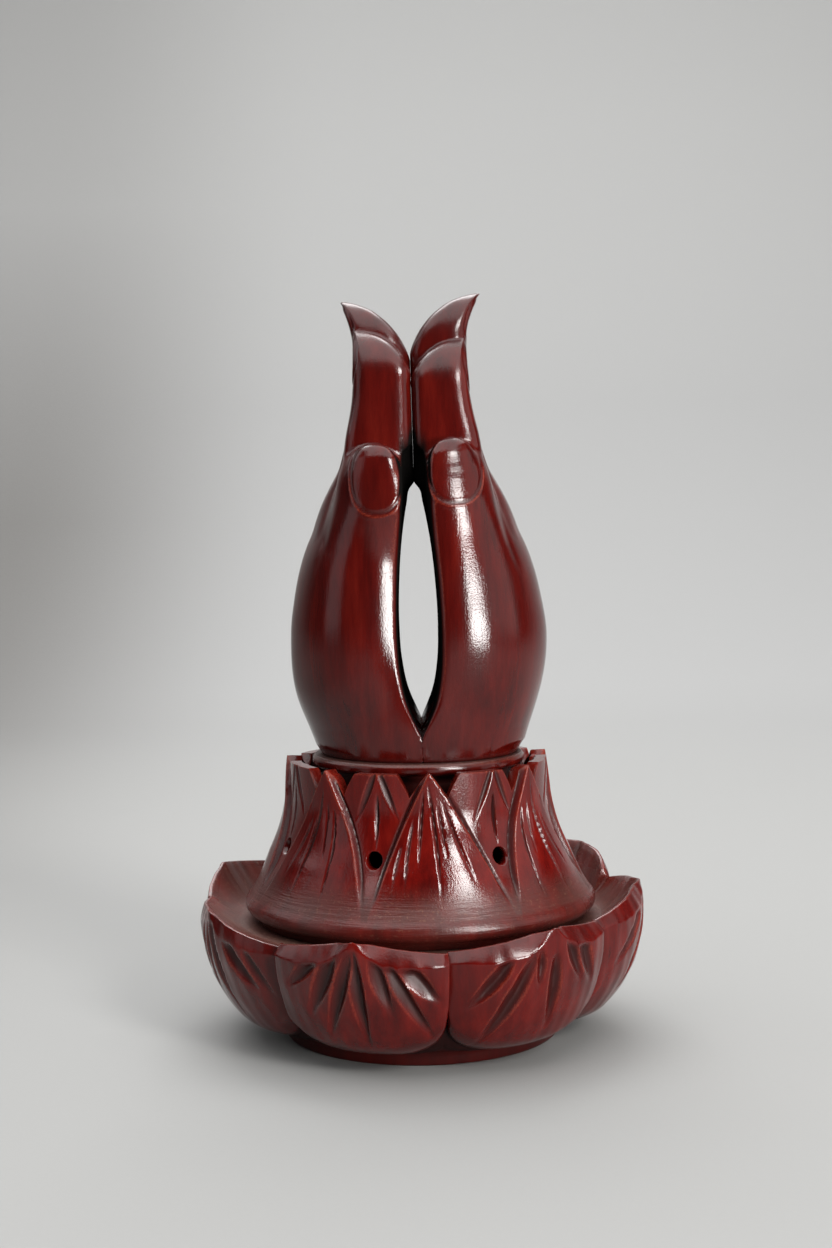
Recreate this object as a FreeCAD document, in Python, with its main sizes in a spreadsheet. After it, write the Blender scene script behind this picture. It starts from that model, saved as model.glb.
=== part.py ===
# Incense burner: a carved lotus dish with a brass ash pan, a lotus smoke cover
# that lifts off the dish, and a pair of hands on a plinth that lifts off the cover.
# Millimetres, +Z up, origin at the centre of the foot, front of the hands at -Y.
import FreeCAD, Part
import Sketcher
import math
import os
import re

# Driving dimensions: alias, value, what it measures
SIZES = [
    ("foot_radius", 40.8, "turned foot ring under the dish"),
    ("foot_height", 4.0, "underside of the dish petals above the table"),
    ("foot_recess_radius", 33.0, "hollow turned in the underside of the foot"),
    ("foot_recess_depth", 1.5, "depth of that hollow"),
    ("well_radius", 46.5, "well of the dish, which takes the cover's rebate"),
    ("ledge_width", 8.0, "flat ledge round the well"),
    ("ledge_height", 34.5, "ledge above the table"),
    ("rim_wall", 12.3, "petal crest outside the ledge"),
    ("rim_rise", 9.0, "petal tip above the ledge"),
    ("rim_drop", 6.0, "rim in the valley between two petals, below the tip"),
    ("rim_edge", 2.2, "thickness of the petal tip"),
    ("petal_count", 7, "petals of the dish"),
    ("petal_turn", -3.6, "direction of the first dish petal from +X, degrees"),
    ("petal_valley", 4.2, "depth of the valley between two petals"),
    ("swell_inset", 1.0, "petal crest at half height, inside the rim"),
    ("belly_inset", 8.0, "petal crest low down, inside the rim"),
    ("belly_rise", 7.0, "height of that place above the petals' underside"),
    ("under_inset", 18.5, "underside of the petals, inside the rim"),
    ("pan_seat_depth", 9.5, "step in the well, below the ledge"),
    ("pan_seat_width", 4.0, "step in the well, which carries the pan"),
    ("bowl_depth", 14.0, "floor of the bowl below the step"),
    ("pan_gap", 0.4, "clearance of the pan in the well and the bowl"),
    ("pan_wall", 0.9, "brass sheet of the pan"),
    ("pan_depth", 11.5, "pan floor below its flange"),
    ("pan_taper", 4.0, "pan floor smaller than its mouth, on the radius"),
    ("mat_gap", 2.2, "pan floor left free round the mat"),
    ("mat_thick", 3.0, "fibre mat"),
    ("tack_count", 3, "brass tacks round the flange"),
    ("tack_head_radius", 1.5, "tack head"),
    ("tack_head_height", 0.8, "tack head"),
    ("tack_shank_radius", 0.6, "tack shank"),
    ("tack_length", 7.0, "tack shank below its head"),
    ("drive_fit", 0.05, "clearance round screws, tacks and dowels"),
    ("cover_fit", 0.3, "clearance of the cover's rebate in the well"),
    ("rebate_depth", 4.5, "rebate of the cover below the ledge"),
    ("rebate_wall", 3.8, "wall of that rebate"),
    ("seat_width", 2.4, "flat ring of the cover that stands on the ledge"),
    ("skirt_gap", 2.6, "skirt edge above the ledge"),
    ("skirt_edge", 3.7, "skirt edge outside the well"),
    ("skirt_shoulder", 3.9, "top of the rounded skirt edge, outside the well"),
    ("skirt_rise", 8.7, "top of the rounded skirt edge above the ledge"),
    ("skirt_round", 3.7, "radius of the rounded skirt edge"),
    ("neck_radius", 38.7, "cover above its flare"),
    ("neck_rise", 37.5, "foot of the upright neck above the ledge"),
    ("flare_spread", 5.9, "foot of the hollow flare outside the neck"),
    ("flare_rise", 17.9, "foot of the hollow flare above the ledge"),
    ("flare_round", 40.0, "radius of the hollow flare"),
    ("cover_wall", 4.4, "wall of the cover under the flare"),
    ("crown_rise", 47.7, "tips of the crown petals above the ledge"),
    ("crown_wall", 3.6, "thickness of the crown petals"),
    ("deck_depth", 7.5, "deck inside the crown, below the tips"),
    ("deck_thick", 7.0, "deck of the cover"),
    ("cover_petals", 7, "outer petals of the cover, with an inner one between each two"),
    ("cover_turn", -85.0, "direction of the first outer petal from +X, degrees"),
    ("petal_step", 1.1, "outer petals proud of the inner ones at the neck"),
    ("petal_foot_rise", 12.0, "where the sides of two outer petals meet, above the ledge"),
    ("petal_foot_half", 21.0, "half width of an outer petal there"),
    ("petal_waist_rise", 31.5, "bend in the side of an outer petal, above the ledge"),
    ("petal_waist_half", 9.2, "half width of an outer petal at the bend"),
    ("notch_depth", 6.2, "open notch between two crown tips"),
    ("notch_near", 1.6, "near side of the notch from the middle of the outer petal"),
    ("notch_point", 4.2, "point of the notch"),
    ("notch_far", 8.6, "far side of the notch"),
    ("smoke_hole", 5.0, "drilled smoke holes, diameter"),
    ("smoke_hole_rise", 23.5, "smoke holes above the ledge"),
    ("crown_gap", 3.6, "free ring between the crown and the plinth"),
    ("plinth_rim", 3.4, "thickness of the plinth's rim"),
    ("plinth_lift", 5.5, "underside of that rim above the deck"),
    ("plinth_undercut", 4.5, "shoulder on the deck, inside the rim"),
    ("spigot_radius", 16.0, "plinth spigot in the deck"),
    ("spigot_fit", 0.25, "clearance of the spigot in the deck"),
    ("flue_radius", 6.0, "smoke way through plinth and wrists"),
    ("screw_offset", 20.5, "screws from the middle"),
    ("screw_length", 22.0, "screws, overall"),
    ("screw_radius", 1.75, "screw shank"),
    ("screw_head_radius", 3.5, "countersunk head"),
    ("screw_head_height", 1.9, "countersunk head"),
    ("dowel_radius", 2.0, "wrist dowels"),
    ("dowel_length", 22.0, "wrist dowels"),
    ("dowel_spacing", 34.0, "between the two wrist dowels"),
    ("dowel_rise", 4.0, "dowels above the plinth"),
    ("hand_lean", 1.0, "both hands lean to -X, degrees"),
    ("wrist_inset", 2.8, "wrists inside the plinth's rim"),
    ("heel_rise", 15.0, "heels of the hands above the plinth"),
    ("heel_half", 34.2, "half width over both heels"),
    ("heel_depth", 30.0, "half depth there"),
    ("palm_rise", 33.5, "widest place above the plinth"),
    ("palm_half", 38.0, "half width there"),
    ("palm_depth", 32.0, "half depth there"),
    ("back_rise", 53.5, "backs of the hands above the plinth"),
    ("back_half", 35.2, "half width there"),
    ("back_depth", 30.5, "half depth there"),
    ("knuckle_rise", 68.0, "knuckles above the plinth"),
    ("knuckle_half", 29.7, "half width there"),
    ("knuckle_depth", 27.5, "half depth there"),
    ("web_rise", 84.0, "top of the palms, inside the fingers"),
    ("web_half", 21.0, "half width there"),
    ("web_depth", 22.0, "half depth there"),
    ("finger_root_rise", 62.0, "finger roots, inside the knuckles"),
    ("finger_root_half", 27.0, "outside of the finger roots"),
    ("finger_mid_rise", 91.0, "half length of the fingers above the plinth"),
    ("finger_mid_half", 19.6, "outside of the fingers there"),
    ("finger_neck_half", 16.7, "outside of the fingers where their pads start to slope"),
    ("finger_width", 13.4, "index and middle finger at the root, front to back"),
    ("finger_taper", 2.4, "fingers narrower at the tip"),
    ("pad_press", 0.5, "finger pads pressed flat at the seam"),
    ("index_rise", 123.0, "index tip above the plinth"),
    ("index_root", -16.0, "index root along Y"),
    ("index_end", -11.5, "index tip along Y"),
    ("index_reach", 16.8, "index tip from the seam"),
    ("index_slope", 15.0, "sloping pad of the index tip"),
    ("index_slim", 0.0, "index finger narrower than the middle one"),
    ("middle_rise", 135.6, "middle tip above the plinth"),
    ("middle_root", -4.5, "middle root along Y"),
    ("middle_end", -2.0, "middle tip along Y"),
    ("middle_reach", 20.2, "middle tip from the seam"),
    ("middle_slope", 20.0, "sloping pad of the middle tip"),
    ("middle_slim", 0.0, "middle finger narrower than itself, none"),
    ("ring_rise", 127.3, "ring tip above the plinth"),
    ("ring_root", 7.0, "ring root along Y"),
    ("ring_end", 7.0, "ring tip along Y"),
    ("ring_reach", 18.6, "ring tip from the seam"),
    ("ring_slope", 17.0, "sloping pad of the ring tip"),
    ("ring_slim", 0.6, "ring finger narrower than the middle one"),
    ("little_rise", 112.0, "little tip above the plinth"),
    ("little_root", 17.5, "little root along Y"),
    ("little_end", 15.5, "little tip along Y"),
    ("little_reach", 16.0, "little tip from the seam"),
    ("little_slope", 14.0, "sloping pad of the little tip"),
    ("little_slim", 2.0, "little finger narrower than the middle one"),
    ("thumb_rise", 92.5, "thumb tip above the plinth"),
    ("thumb_offset", 11.4, "thumb tip from the seam"),
    ("thumb_front", 24.5, "thumb tip in front of the middle"),
    ("thumb_half", 8.6, "half width of the thumb at its nail"),
    ("thumb_depth", 6.8, "half depth of the thumb at its nail"),
    ("thumb_nail", 14.0, "nail of the thumb, from its root to the tip"),
    ("thumb_spread", 7.0, "ball of the thumb further from the seam than the tip"),
    ("thumb_setback", 4.5, "ball of the thumb behind the tip"),
    ("thumb_swell", 3.2, "ball of the thumb thicker than at the nail"),
    ("gap_half", 5.6, "half the gap between the palms"),
    ("gap_foot", 8.5, "foot of the gap above the plinth"),
    ("gap_middle", 35.0, "widest place of the gap above the plinth"),
    ("gap_top", 80.0, "top of the gap above the plinth"),
    ("hollow_half", 13.0, "half width of the hollow inside the palms"),
    ("hollow_depth", 21.0, "half depth of the hollow"),
    ("hollow_half_rise", 29.0, "half height of the hollow"),
    ("hollow_lift", 2.0, "middle of the hollow above the widest place of the gap"),
]

# Places that follow from the driving dimensions
PLACES = {
    "ledge_radius": "(well_radius + ledge_width)",
    "dish_radius": "(ledge_radius + rim_wall)",
    "dish_height": "(ledge_height + rim_rise)",
    "pan_seat": "(ledge_height - pan_seat_depth)",
    "bowl_radius": "(well_radius - pan_seat_width)",
    "bowl_floor": "(pan_seat - bowl_depth)",
    "pan_floor": "(pan_seat - pan_depth)",
    "pan_mouth": "(bowl_radius - pan_gap)",
    "pan_floor_radius": "(pan_mouth - pan_taper)",
    "tack_circle": "((bowl_radius + well_radius) / 2)",
    "rebate_radius": "(well_radius - cover_fit)",
    "flare_radius": "(neck_radius + flare_spread)",
    "flare_height": "(ledge_height + flare_rise)",
    "neck_height": "(ledge_height + neck_rise)",
    "crown_height": "(ledge_height + crown_rise)",
    "deck": "(crown_height - deck_depth)",
    "deck_underside": "(deck - deck_thick)",
    "plinth_radius": "(neck_radius - crown_wall - crown_gap)",
    "shoulder_radius": "(plinth_radius - plinth_undercut)",
    "rim_underside": "(deck + plinth_lift)",
    "plinth_top": "(rim_underside + plinth_rim)",
    "wrist_radius": "(plinth_radius - wrist_inset)",
}

doc = FreeCAD.newDocument("IncenseBurner")
sheet = doc.addObject("Spreadsheet::Sheet", "dims")
for row, (alias, value, note) in enumerate(SIZES, start=1):
    sheet.set(f"A{row}", alias)
    sheet.set(f"B{row}", str(value))
    sheet.setAlias(f"B{row}", alias)
    sheet.set(f"C{row}", note)
doc.recompute()
ALIASES = {alias for alias, value, note in SIZES}


def cells(expression):
    """The same expression with places worked out and every alias written as a cell of the sheet."""
    def written(match):
        word = match[0]
        if word in PLACES:
            return cells(PLACES[word])
        return f"dims.{word}" if word in ALIASES else word
    return re.sub("[a-z_]+", written, expression)


def size(expression):
    """Number that an expression gives now, for code that needs the value."""
    return float(sheet.evalExpression(cells(expression)))


def bind(item, **expressions):
    """Tie properties of an object to expressions; a double underscore in a name stands for a dot."""
    for path, expression in expressions.items():
        item.setExpression(path.replace("__", "."), cells(expression))


def bind_place(item, across, along, up):
    """Tie the place of an object to three expressions."""
    bind(item, Placement__Base__x=across, Placement__Base__y=along, Placement__Base__z=up)


# Sketches, turnings, cuts and rings of cuts

def origin_part(body, role):
    """Origin plane or axis of a body, by its role."""
    return next(item for item in body.Origin.OriginFeatures if item.Role == role)


def new_sketch(body, name, role, height=None, turn=None):
    """Sketch on an origin plane, raised to a height or turned about the upright axis."""
    sketch = body.newObject("Sketcher::SketchObject", name)
    sketch.AttachmentSupport = [(origin_part(body, role), "")]
    sketch.MapMode = "FlatFace"
    if turn:
        upright = FreeCAD.Rotation(FreeCAD.Vector(0, 1, 0), 1)
        sketch.AttachmentOffset = FreeCAD.Placement(FreeCAD.Vector(), upright)
        bind(sketch, AttachmentOffset__Rotation__Angle=turn)
    if height:
        bind(sketch, AttachmentOffset__Base__z=height)
    return sketch


def hold(sketch, kind, expression, *places):
    """Add a measured constraint to a sketch and tie its value to an expression."""
    number = sketch.addConstraint(Sketcher.Constraint(kind, *places, size(expression)))
    sketch.setExpression(f"Constraints[{number}]", cells(expression))


def pin(sketch, geometry, end, across, up):
    """Hold one end of a sketch edge at two expressions."""
    hold(sketch, "DistanceX", across, -1, 1, geometry, end)
    hold(sketch, "DistanceY", up, -1, 1, geometry, end)


def left_arc(start, stop, radius):
    """Arc from start to stop that turns left, less than half a circle."""
    chord = stop - start
    rise = math.sqrt(radius ** 2 - chord.Length ** 2 / 4)
    centre = (start + stop) / 2 + FreeCAD.Vector(-chord.y, chord.x, 0).normalize() * rise
    begin = math.atan2(start.y - centre.y, start.x - centre.x)
    finish = math.atan2(stop.y - centre.y, stop.x - centre.x)
    if finish < begin:
        finish += 2 * math.pi
    return Part.ArcOfCircle(Part.Circle(centre, FreeCAD.Vector(0, 0, 1), radius), begin, finish)


def outline(sketch, corners, arcs=None):
    """Closed outline through corners given as (across, up) expressions.

    arcs maps the number of a side to its radius expression and the way it turns.
    """
    arcs = arcs or {}
    places = [FreeCAD.Vector(size(across), size(up), 0) for across, up in corners]
    ends = []
    for side, start in enumerate(places):
        stop = places[(side + 1) % len(places)]
        if side not in arcs:
            ends.append((sketch.addGeometry(Part.LineSegment(start, stop)), 1, 2))
            continue
        radius, way = arcs[side]
        if way == "left":
            number = sketch.addGeometry(left_arc(start, stop, size(radius)))
            ends.append((number, 1, 2))
        else:
            number = sketch.addGeometry(left_arc(stop, start, size(radius)))
            ends.append((number, 2, 1))
        hold(sketch, "Radius", radius, number)
    for side, (number, start, stop) in enumerate(ends):
        next_number, next_start, next_stop = ends[(side + 1) % len(ends)]
        sketch.addConstraint(Sketcher.Constraint("Coincident", number, stop, next_number, next_start))
        pin(sketch, number, start, *corners[side])


def turned(body, name, corners, arcs=None, cut=False):
    """Turn an outline of (radius, height) expressions about the upright axis."""
    sketch = new_sketch(body, name + "_outline", "XZ_Plane")
    outline(sketch, corners, arcs)
    feature = body.newObject("PartDesign::Groove" if cut else "PartDesign::Revolution", name)
    feature.Profile = sketch
    feature.ReferenceAxis = (sketch, ["V_Axis"])
    feature.Angle = 360
    doc.recompute()


def radial_ring(body, name, sketch, count):
    """Cut a sketch that stands on the axis outwards through the wall, and repeat it all round."""
    before = body.Shape.Volume
    pocket = body.newObject("PartDesign::Pocket", name + "_cut")
    pocket.Profile = sketch
    pocket.Type = "ThroughAll"
    doc.recompute()
    if body.Shape.Volume >= before:
        raise RuntimeError(f"{name} cuts nothing")
    ring = body.newObject("PartDesign::PolarPattern", name)
    ring.Originals = [pocket]
    ring.Axis = (origin_part(body, "Z_Axis"), [""])
    ring.Angle = 360
    bind(ring, Occurrences=count)
    body.Tip = ring
    doc.recompute()


def joined(label, items):
    """Union of solids that touch, or one piece of several that don't."""
    union = doc.addObject("Part::MultiFuse", label)
    union.Shapes = items
    return union


def cylinder(name, radius, length, across, along, up):
    """Upright cylinder with its foot at three expressions."""
    item = doc.addObject("Part::Cylinder", name)
    bind(item, Radius=radius, Height=length)
    bind_place(item, across, along, up)
    return item


def cone(name, foot_radius, top_radius, length, across, along, up):
    """Upright cone with its foot at three expressions."""
    item = doc.addObject("Part::Cone", name)
    bind(item, Radius1=foot_radius, Radius2=top_radius, Height=length)
    bind_place(item, across, along, up)
    return item


def less(label, piece, waste):
    """A piece with waste cut off it."""
    cut = doc.addObject("Part::Cut", label)
    cut.Base = piece
    cut.Tool = waste
    return cut


# Lotus dish: lobed outside lofted through rings of arcs, foot turned on, inside turned out

def petal_ring(body, name, height, crest, valley):
    """Ring of one arc per petal: crest and valley are radii, height is above the table."""
    sketch = new_sketch(body, name, "XY_Plane", height=height)
    count = int(size("petal_count"))
    corners = []
    for number in range(count):
        angle = f"((petal_turn + ({number} - 0.5) * 360 / petal_count) * 1 deg)"
        corners.append((f"({valley}) * cos{angle}", f"({valley}) * sin{angle}"))
    half = f"(({valley}) * sin(180 deg / petal_count))"
    sag = f"(({crest}) - ({valley}) * cos(180 deg / petal_count))"
    radius = f"({half} * {half} + {sag} * {sag}) / (2 * {sag})"
    outline(sketch, corners, {number: (radius, "left") for number in range(count)})
    return sketch


def build_lotus_dish():
    """Petals swell from the foot to the rim, which drops between the petal tips."""
    body = doc.addObject("PartDesign::Body", "dish_turning")
    rings = []
    for name, height, crest, valley in (
            ("petals_under", "foot_height", "dish_radius - under_inset", "petal_valley / 3"),
            ("petals_belly", "foot_height + belly_rise", "dish_radius - belly_inset", "petal_valley * 2 / 3"),
            ("petals_swell", "(foot_height + dish_height) / 2", "dish_radius - swell_inset", "petal_valley"),
            ("petals_rim", "dish_height", "dish_radius", "petal_valley")):
        rings.append(petal_ring(body, name, height, crest, f"{crest} - {valley}"))
    petals = body.newObject("PartDesign::AdditiveLoft", "petals")
    petals.Profile = rings[0]
    petals.Sections = rings[1:]
    doc.recompute()
    turned(body, "foot", [
        ("0", "0"), ("foot_radius", "0"),
        ("foot_radius", "(foot_height + bowl_floor) / 2"), ("0", "(foot_height + bowl_floor) / 2")])
    turned(body, "inside", [
        ("0", "bowl_floor"), ("bowl_radius", "bowl_floor"), ("bowl_radius", "pan_seat"),
        ("well_radius", "pan_seat"), ("well_radius", "ledge_height"), ("ledge_radius", "ledge_height"),
        ("dish_radius - rim_edge", "dish_height"), ("dish_radius - rim_edge", "dish_height + 1"),
        ("0", "dish_height + 1")], cut=True)
    turned(body, "foot_recess", [
        ("0", "0"), ("foot_recess_radius", "0"),
        ("foot_recess_radius", "foot_recess_depth"), ("0", "foot_recess_depth")], cut=True)
    scallop = new_sketch(body, "scallop", "XZ_Plane", turn="petal_turn - 90")
    half = "((dish_radius - petal_valley) * sin(180 deg / petal_count))"
    outline(scallop, [
        ("0", "dish_height"), (f"-{half}", "dish_height - rim_drop"), (f"-{half}", "dish_height + 1"),
        (half, "dish_height + 1"), (half, "dish_height - rim_drop")])
    radial_ring(body, "rim", scallop, "petal_count")
    return less("lotus_dish", body, joined("dish_holes", tack_shanks("dish_hole", "drive_fit")))


# Ash pan, tacks and mat: a spun brass pan hung by its flange, with a fibre mat on its floor

def tack_shanks(name, clearance):
    """Shanks of the tacks, or the holes for them with a clearance added, under the top of the flange."""
    shanks = []
    for number in range(int(size("tack_count"))):
        angle = f"((90 + {number} * 360 / tack_count) * 1 deg)"
        shanks.append(cylinder(
            f"{name}_{number}", f"tack_shank_radius + {clearance}", "tack_length",
            f"tack_circle * cos{angle}", f"tack_circle * sin{angle}", "pan_seat + pan_wall - tack_length"))
    return shanks


def build_ash_pan():
    """Tapered pan with a flange on the step of the well."""
    body = doc.addObject("PartDesign::Body", "pan_spinning")
    turned(body, "sheet", [
        ("0", "pan_floor"), ("pan_floor_radius", "pan_floor"), ("pan_mouth", "pan_seat"),
        ("well_radius - pan_gap", "pan_seat"), ("well_radius - pan_gap", "pan_seat + pan_wall"),
        ("pan_mouth - pan_wall", "pan_seat + pan_wall"),
        ("pan_floor_radius - pan_wall", "pan_floor + pan_wall"), ("0", "pan_floor + pan_wall")])
    return less("ash_pan", body, joined("pan_holes", tack_shanks("pan_hole", "drive_fit")))


def build_pan_tacks():
    """Tacks spread round the flange, their heads on it."""
    tacks = []
    for number, shank in enumerate(tack_shanks("tack_shank", "0")):
        angle = f"((90 + {number} * 360 / tack_count) * 1 deg)"
        head = cone(f"tack_head_{number}", "tack_head_radius", "tack_head_radius / 2", "tack_head_height",
                    f"tack_circle * cos{angle}", f"tack_circle * sin{angle}", "pan_seat + pan_wall")
        tacks.append(joined(f"tack_{number}", [head, shank]))
    return joined("pan_tacks", tacks)


def build_fibre_mat():
    """Disc on the floor of the pan."""
    return cylinder("fibre_mat", "pan_floor_radius - pan_wall - mat_gap", "mat_thick",
                    "0", "0", "pan_floor + pan_wall")


# Smoke cover: flared bell with a rebate in the dish, crown petals, smoke holes and raised outer petals

def build_cover_bell():
    """Turned bell, notched between the crown tips and drilled in every inner petal."""
    body = doc.addObject("PartDesign::Body", "cover_bell")
    bell = [
        ("rebate_radius - rebate_wall", "ledge_height - rebate_depth"),
        ("rebate_radius", "ledge_height - rebate_depth"),
        ("rebate_radius", "ledge_height"),
        ("rebate_radius + seat_width", "ledge_height"),
        ("well_radius + skirt_edge", "ledge_height + skirt_gap"),
        ("well_radius + skirt_shoulder", "ledge_height + skirt_rise"),
        ("flare_radius", "flare_height"),
        ("neck_radius", "neck_height"),
        ("neck_radius", "crown_height"),
        ("neck_radius - crown_wall", "crown_height"),
        ("neck_radius - crown_wall", "deck"),
        ("spigot_radius + spigot_fit", "deck"),
        ("spigot_radius + spigot_fit", "deck_underside"),
        ("neck_radius - cover_wall", "deck_underside"),
        ("flare_radius - cover_wall", "flare_height"),
        ("rebate_radius - rebate_wall", "ledge_height + skirt_rise"),
    ]
    skirt_side, flare_side = 4, 6
    turned(body, "bell", bell, {skirt_side: ("skirt_round", "left"), flare_side: ("flare_round", "right")})
    for name, sign in (("right_notches", 1), ("left_notches", -1)):
        notch = new_sketch(body, name + "_outline", "XZ_Plane", turn="cover_turn - 90")
        outline(notch, [
            (f"{sign} * notch_near", "crown_height + 1"),
            (f"{sign} * notch_point", "crown_height - notch_depth"),
            (f"{sign} * notch_far", "crown_height + 1")])
        radial_ring(body, name, notch, "cover_petals")
    drill = new_sketch(body, "drill", "XZ_Plane", turn="cover_turn - 90 + 180 / cover_petals")
    middle = FreeCAD.Vector(0, size("ledge_height + smoke_hole_rise"), 0)
    circle = drill.addGeometry(Part.Circle(middle, FreeCAD.Vector(0, 0, 1), size("smoke_hole / 2")))
    centre_point = 3
    pin(drill, circle, centre_point, "0", "ledge_height + smoke_hole_rise")
    hold(drill, "Diameter", "smoke_hole", circle)
    radial_ring(body, "smoke_holes", drill, "cover_petals")
    return body


def build_petal_waste():
    """Shell over the cover with petal-shaped windows: the waste between the outer petals."""
    body = doc.addObject("PartDesign::Body", "petal_waste")
    shell = [
        ("neck_radius - petal_step", "crown_height + 1"),
        ("neck_radius - petal_step", "neck_height"),
        ("flare_radius + petal_step", "flare_height - petal_step"),
        ("flare_radius + petal_step * 4", "flare_height"),
        ("flare_radius + petal_step * 4", "crown_height + 1"),
    ]
    flare_side = 1
    turned(body, "shell", shell, {flare_side: ("flare_round", "left")})
    window = new_sketch(body, "petal", "XZ_Plane", turn="cover_turn - 90")
    foot, waist = "ledge_height + petal_foot_rise", "ledge_height + petal_waist_rise"
    outline(window, [
        ("0", "crown_height + petal_step * 2"), ("-petal_waist_half", waist), ("-petal_foot_half", foot),
        ("petal_foot_half", foot), ("petal_waist_half", waist)])
    radial_ring(body, "windows", window, "cover_petals")
    return body


def build_smoke_cover():
    """Bell with the waste between its outer petals carved away."""
    return less("smoke_cover", build_cover_bell(), build_petal_waste())


# Plinth, screws and dowels: a turned round that drops into the deck and carries the hands

SCREWS = {"left": -1, "right": 1}


def build_plinth():
    """Rim, shoulder and spigot in one turning, bored for the smoke and drilled for the screws."""
    body = doc.addObject("PartDesign::Body", "plinth_turning")
    rim_edge = "plinth_radius - plinth_rim / 3"
    rounds = [
        ("flue_radius", "deck_underside"), ("spigot_radius", "deck_underside"),
        ("spigot_radius", "deck"), ("shoulder_radius", "deck"), ("shoulder_radius", "rim_underside"),
        (rim_edge, "rim_underside"), ("plinth_radius", "rim_underside + plinth_rim / 2"),
        (rim_edge, "plinth_top"), ("flue_radius", "plinth_top"),
    ]
    lower_side, upper_side = 5, 6
    turned(body, "rounds", rounds, {lower_side: ("plinth_rim", "left"), upper_side: ("plinth_rim", "left")})
    holes = []
    for name, sign in SCREWS.items():
        across = f"{sign} * screw_offset"
        holes.append(cylinder(f"plinth_bore_{name}", "screw_radius + drive_fit", "plinth_lift + plinth_rim",
                              across, "0", "deck"))
        holes.append(cone(f"plinth_sink_{name}", "screw_head_radius + drive_fit", "screw_radius + drive_fit",
                          "screw_head_height + drive_fit", across, "0", "deck"))
    return less("plinth", body, joined("plinth_holes", holes))


def build_hand_screws():
    """Countersunk screws, their heads sunk just under the plinth's shoulder."""
    screws = []
    for name, sign in SCREWS.items():
        across = f"{sign} * screw_offset"
        head = cone(f"screw_head_{name}", "screw_head_radius", "screw_radius", "screw_head_height",
                    across, "0", "deck + drive_fit")
        shank = cylinder(f"screw_shank_{name}", "screw_radius", "screw_length - drive_fit",
                         across, "0", "deck + drive_fit")
        screws.append(joined(f"screw_{name}", [head, shank]))
    return joined("hand_screws", screws)


def build_wrist_dowels():
    """Dowels across the seam between the wrists."""
    dowels = []
    for name, sign in (("front", -1), ("back", 1)):
        dowel = cylinder(f"dowel_{name}", "dowel_radius", "dowel_length",
                         "-dowel_length / 2", f"{sign} * dowel_spacing / 2", "plinth_top + dowel_rise")
        dowel.Placement.Rotation = FreeCAD.Rotation(FreeCAD.Vector(0, 1, 0), 90)
        dowels.append(dowel)
    return joined("wrist_dowels", dowels)


# Hands: lofts of ellipses for palm, fingers and thumb, cut at the seam, with the palms hollowed

UPWARD = FreeCAD.Vector(0, 0, 1)


def hand_place(across, along, rise):
    """Point of the hands; rise is above the plinth, and the hands lean with it."""
    lean = rise * math.tan(math.radians(size("hand_lean")))
    return FreeCAD.Vector(across - lean, along, size("plinth_top") + rise)


def oval(across, along, rise, half_width, half_depth):
    """Level ellipse of a hand."""
    matrix = FreeCAD.Matrix()
    matrix.scale(half_width, half_depth, 1)
    matrix.move(hand_place(across, along, rise))
    return Part.Wire([Part.Circle(FreeCAD.Vector(), UPWARD, 1).toShape().transformGeometry(matrix)])


def loft(ovals):
    """Solid through level ellipses, straight from each to the next."""
    return Part.makeLoft(ovals, True, True)


def palm_loft():
    """Bud shape of both palms together, round at the wrists."""
    ovals = [oval(0, 0, 0, size("wrist_radius"), size("wrist_radius"))]
    for place in ("heel", "palm", "back", "knuckle", "web"):
        ovals.append(oval(0, 0, size(place + "_rise"), size(place + "_half"), size(place + "_depth")))
    return loft(ovals)


def finger_loft(side, finger):
    """One finger: straight from its root, its pad sloping away from the seam near the tip."""
    tip, reach, slope = (size(f"{finger}_{word}") for word in ("rise", "reach", "slope"))
    root, press, neck = size("finger_root_rise"), size("pad_press"), size("finger_neck_half")
    stations = [
        (root, press, size("finger_root_half")),
        (size("finger_mid_rise"), -press, size("finger_mid_half")),
        (tip - slope, -press, neck),
    ]
    # The pad leaves the seam: share of the slope still above, and shares of the reach inside and outside
    for above, inside, outside in ((0.55, 0.3, 0.95), (0.2, 0.72, 1.0), (0.0, 0.88, 0.98)):
        stations.append((tip - slope * above, reach * inside, reach * outside))
    ovals = []
    for rise, inside, outside in stations:
        share = (rise - root) / (tip - root)
        along = size(f"{finger}_root") * (1 - share) + size(f"{finger}_end") * share
        width = size(f"finger_width - {finger}_slim") - size("finger_taper") * share
        half_depth = width / 2 if rise < tip else width / 4
        ovals.append(oval(side * (inside + outside) / 2, along, rise, (outside - inside) / 2, half_depth))
    return loft(ovals)


def thumb_loft(side):
    """Thumb in front of the fingers, from the heel of the hand to its tip."""
    tip, offset, front = size("thumb_rise"), size("thumb_offset"), size("thumb_front")
    half, depth, nail = size("thumb_half"), size("thumb_depth"), size("thumb_nail")
    spread, setback, swell = size("thumb_spread"), size("thumb_setback"), size("thumb_swell")
    ovals = []
    # The ball of the thumb: shares of its spread, setback and swell at three places of the palm
    for place, out, back, thick in (
            ("heel", 0.7, 1.8, 0.5), ("palm", 1.0, 1.0, 1.0), ("back", 0.7, 0.33, 0.6)):
        ovals.append(oval(side * (offset + spread * out), setback * back - front, size(place + "_rise"),
                          half + swell * thick, depth + swell * thick))
    # The nail end: share of the nail still above, and share of the thumb's thickness
    for above, thick in ((1.0, 1.0), (0.25, 0.8), (0.0, 0.33)):
        ovals.append(oval(side * offset, -front, tip - nail * above, half * thick, depth * thick))
    return loft(ovals)


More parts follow.
